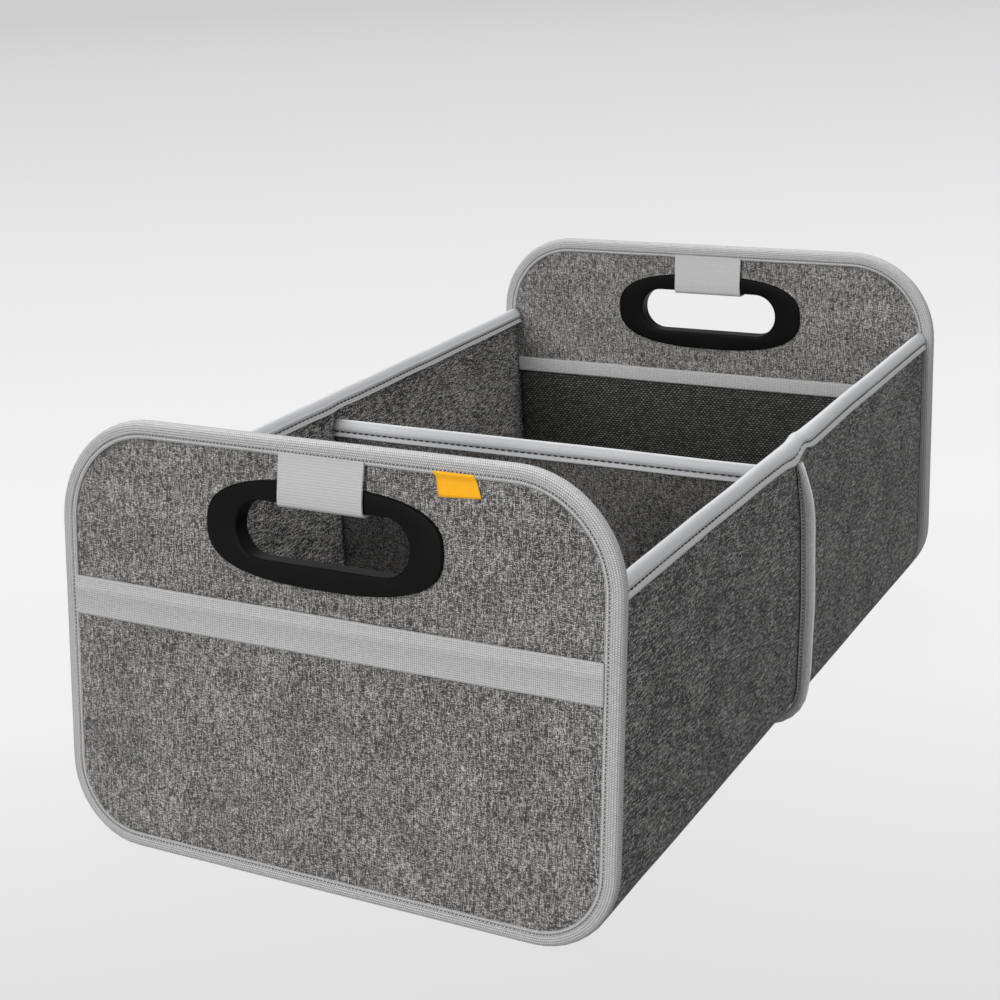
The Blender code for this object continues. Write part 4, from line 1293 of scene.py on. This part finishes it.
# Painted light: the floor's brightness by distance, highest just behind the organizer, a little
# lower at the front and greying most towards the far edge.
FLOOR_PAINTED_LIGHT_LEVELS = ((0.0, 0.732), (0.015, 0.776), (0.045, 0.868), (0.097, 0.886), (0.164, 0.846),
                (0.379, 0.738), (0.99, 0.608))
ramp = floor_painted_light.color_ramp
while len(ramp.elements) < len(FLOOR_PAINTED_LIGHT_LEVELS):
    ramp.elements.new(0.5)
for element, (position, level) in zip(ramp.elements, FLOOR_PAINTED_LIGHT_LEVELS):
    element.position = position
    element.color = (level, level, level, 1)
ray = node(FLOOR_FINISH, "LightPath")
seen = maths(FLOOR_FINISH, "MAXIMUM", ray.outputs["Is Camera Ray"], maths(
    FLOOR_FINISH, "MAXIMUM", ray.outputs["Is Glossy Ray"], ray.outputs["Is Transmission Ray"]))
bounce = node(FLOOR_FINISH, "BsdfDiffuse")
bounce.inputs["Color"].default_value = (0.08, 0.08, 0.08, 1)
# A pale floor of its own brightness, on which the object's shadow still shows
glow = node(FLOOR_FINISH, "Emission")
glow.inputs["Strength"].default_value = 1.0
pale = node(FLOOR_FINISH, "MixShader")
pale.inputs["Fac"].default_value = 0.03
either = node(FLOOR_FINISH, "MixShader")
wire(FLOOR_FINISH, (floor_place.outputs["Object"], floor_parts.inputs["Vector"]),
     (maths(FLOOR_FINISH, "SUBTRACT",
            maths(FLOOR_FINISH, "MULTIPLY", floor_parts.outputs["Y"], 0.873),
            maths(FLOOR_FINISH, "MULTIPLY", floor_parts.outputs["X"], 0.487)),
      floor_span.inputs["Value"]),
     (floor_span.outputs["Result"], floor_painted_light.inputs["Fac"]),
     (floor_painted_light.outputs["Color"], floor_shader.inputs["Base Color"]),
     (floor_painted_light.outputs["Color"], glow.inputs["Color"]),
     (glow.outputs["Emission"], pale.inputs[1]), (floor_shader.outputs["BSDF"], pale.inputs[2]),
     (seen, either.inputs["Fac"]), (bounce.outputs["BSDF"], either.inputs[1]),
     (pale.outputs["Shader"], either.inputs[2]),
     (either.outputs["Shader"],
      FLOOR_FINISH.node_tree.nodes["Material Output"].inputs["Surface"]))
floor_mesh.materials.append(FLOOR_FINISH)

world = bpy.context.scene.world or bpy.data.worlds.new("studio")
bpy.context.scene.world = world
world.use_nodes = True
sky = world.node_tree.nodes["Background"]
sky.inputs["Color"].default_value = (1.0, 1.0, 1.0, 1.0)
sky.inputs["Strength"].default_value = 0.40
# To the camera the sky is as pale as the floor's far edge
far_sky = world.node_tree.nodes.new("ShaderNodeBackground")
far_sky.inputs["Color"].default_value = (FLOOR_PAINTED_LIGHT_LEVELS[-1][1],) * 3 + (1.0,)
sky_ray = world.node_tree.nodes.new("ShaderNodeLightPath")
sky_choice = world.node_tree.nodes.new("ShaderNodeMixShader")
for start, stop in ((sky_ray.outputs["Is Camera Ray"], sky_choice.inputs["Fac"]),
                    (sky.outputs["Background"], sky_choice.inputs[1]),
                    (far_sky.outputs["Background"], sky_choice.inputs[2]),
                    (sky_choice.outputs["Shader"],
                     world.node_tree.nodes["World Output"].inputs["Surface"])):
    world.node_tree.links.new(start, stop)

# Name, direction it comes from, strength (pi lights a facing surface at its own colour), width
LAMPS = (("front_lamp", Vector((-0.16, -0.94, 0.30)), 0.60 * pi, radians(24)),
         ("top_lamp", Vector((-0.42, 0.34, 0.84)), 0.82 * pi, radians(45)),
         ("side_lamp", Vector((0.72, -0.30, 0.62)), 0.34 * pi, radians(60)))
for name, toward, strength, width in LAMPS:
    lamp_data = bpy.data.lights.new(name, "SUN")
    lamp_data.energy = strength
    lamp_data.angle = width
    lamp = bpy.data.objects.new(name, lamp_data)
    bpy.context.scene.collection.objects.link(lamp)
    lamp.rotation_mode = "QUATERNION"
    lamp.rotation_quaternion = toward.to_track_quat("Z", "Y")

AZIMUTH = radians(29.1447)
ELEVATION = radians(18.6872)
ROLL = radians(-2.8863)
back = Vector((sin(AZIMUTH) * cos(ELEVATION), -cos(AZIMUTH) * cos(ELEVATION), sin(ELEVATION)))
side_way = Vector((cos(AZIMUTH), sin(AZIMUTH), 0))
up_way = back.cross(side_way)
right_way = side_way * cos(ROLL) + up_way * sin(ROLL)
top_way = up_way * cos(ROLL) - side_way * sin(ROLL)
camera_data = bpy.data.cameras.new("camera")
camera_data.sensor_width = 36.0
camera_data.lens = 36.0 * 1.82304
camera_data.clip_end = 100.0
camera = bpy.data.objects.new("camera", camera_data)
bpy.context.scene.collection.objects.link(camera)
camera.matrix_world = Matrix.Translation((0.47660, -0.91380, 0.47397)) @ Matrix(
    (right_way, top_way, back)).transposed().to_4x4()
bpy.context.scene.camera = camera
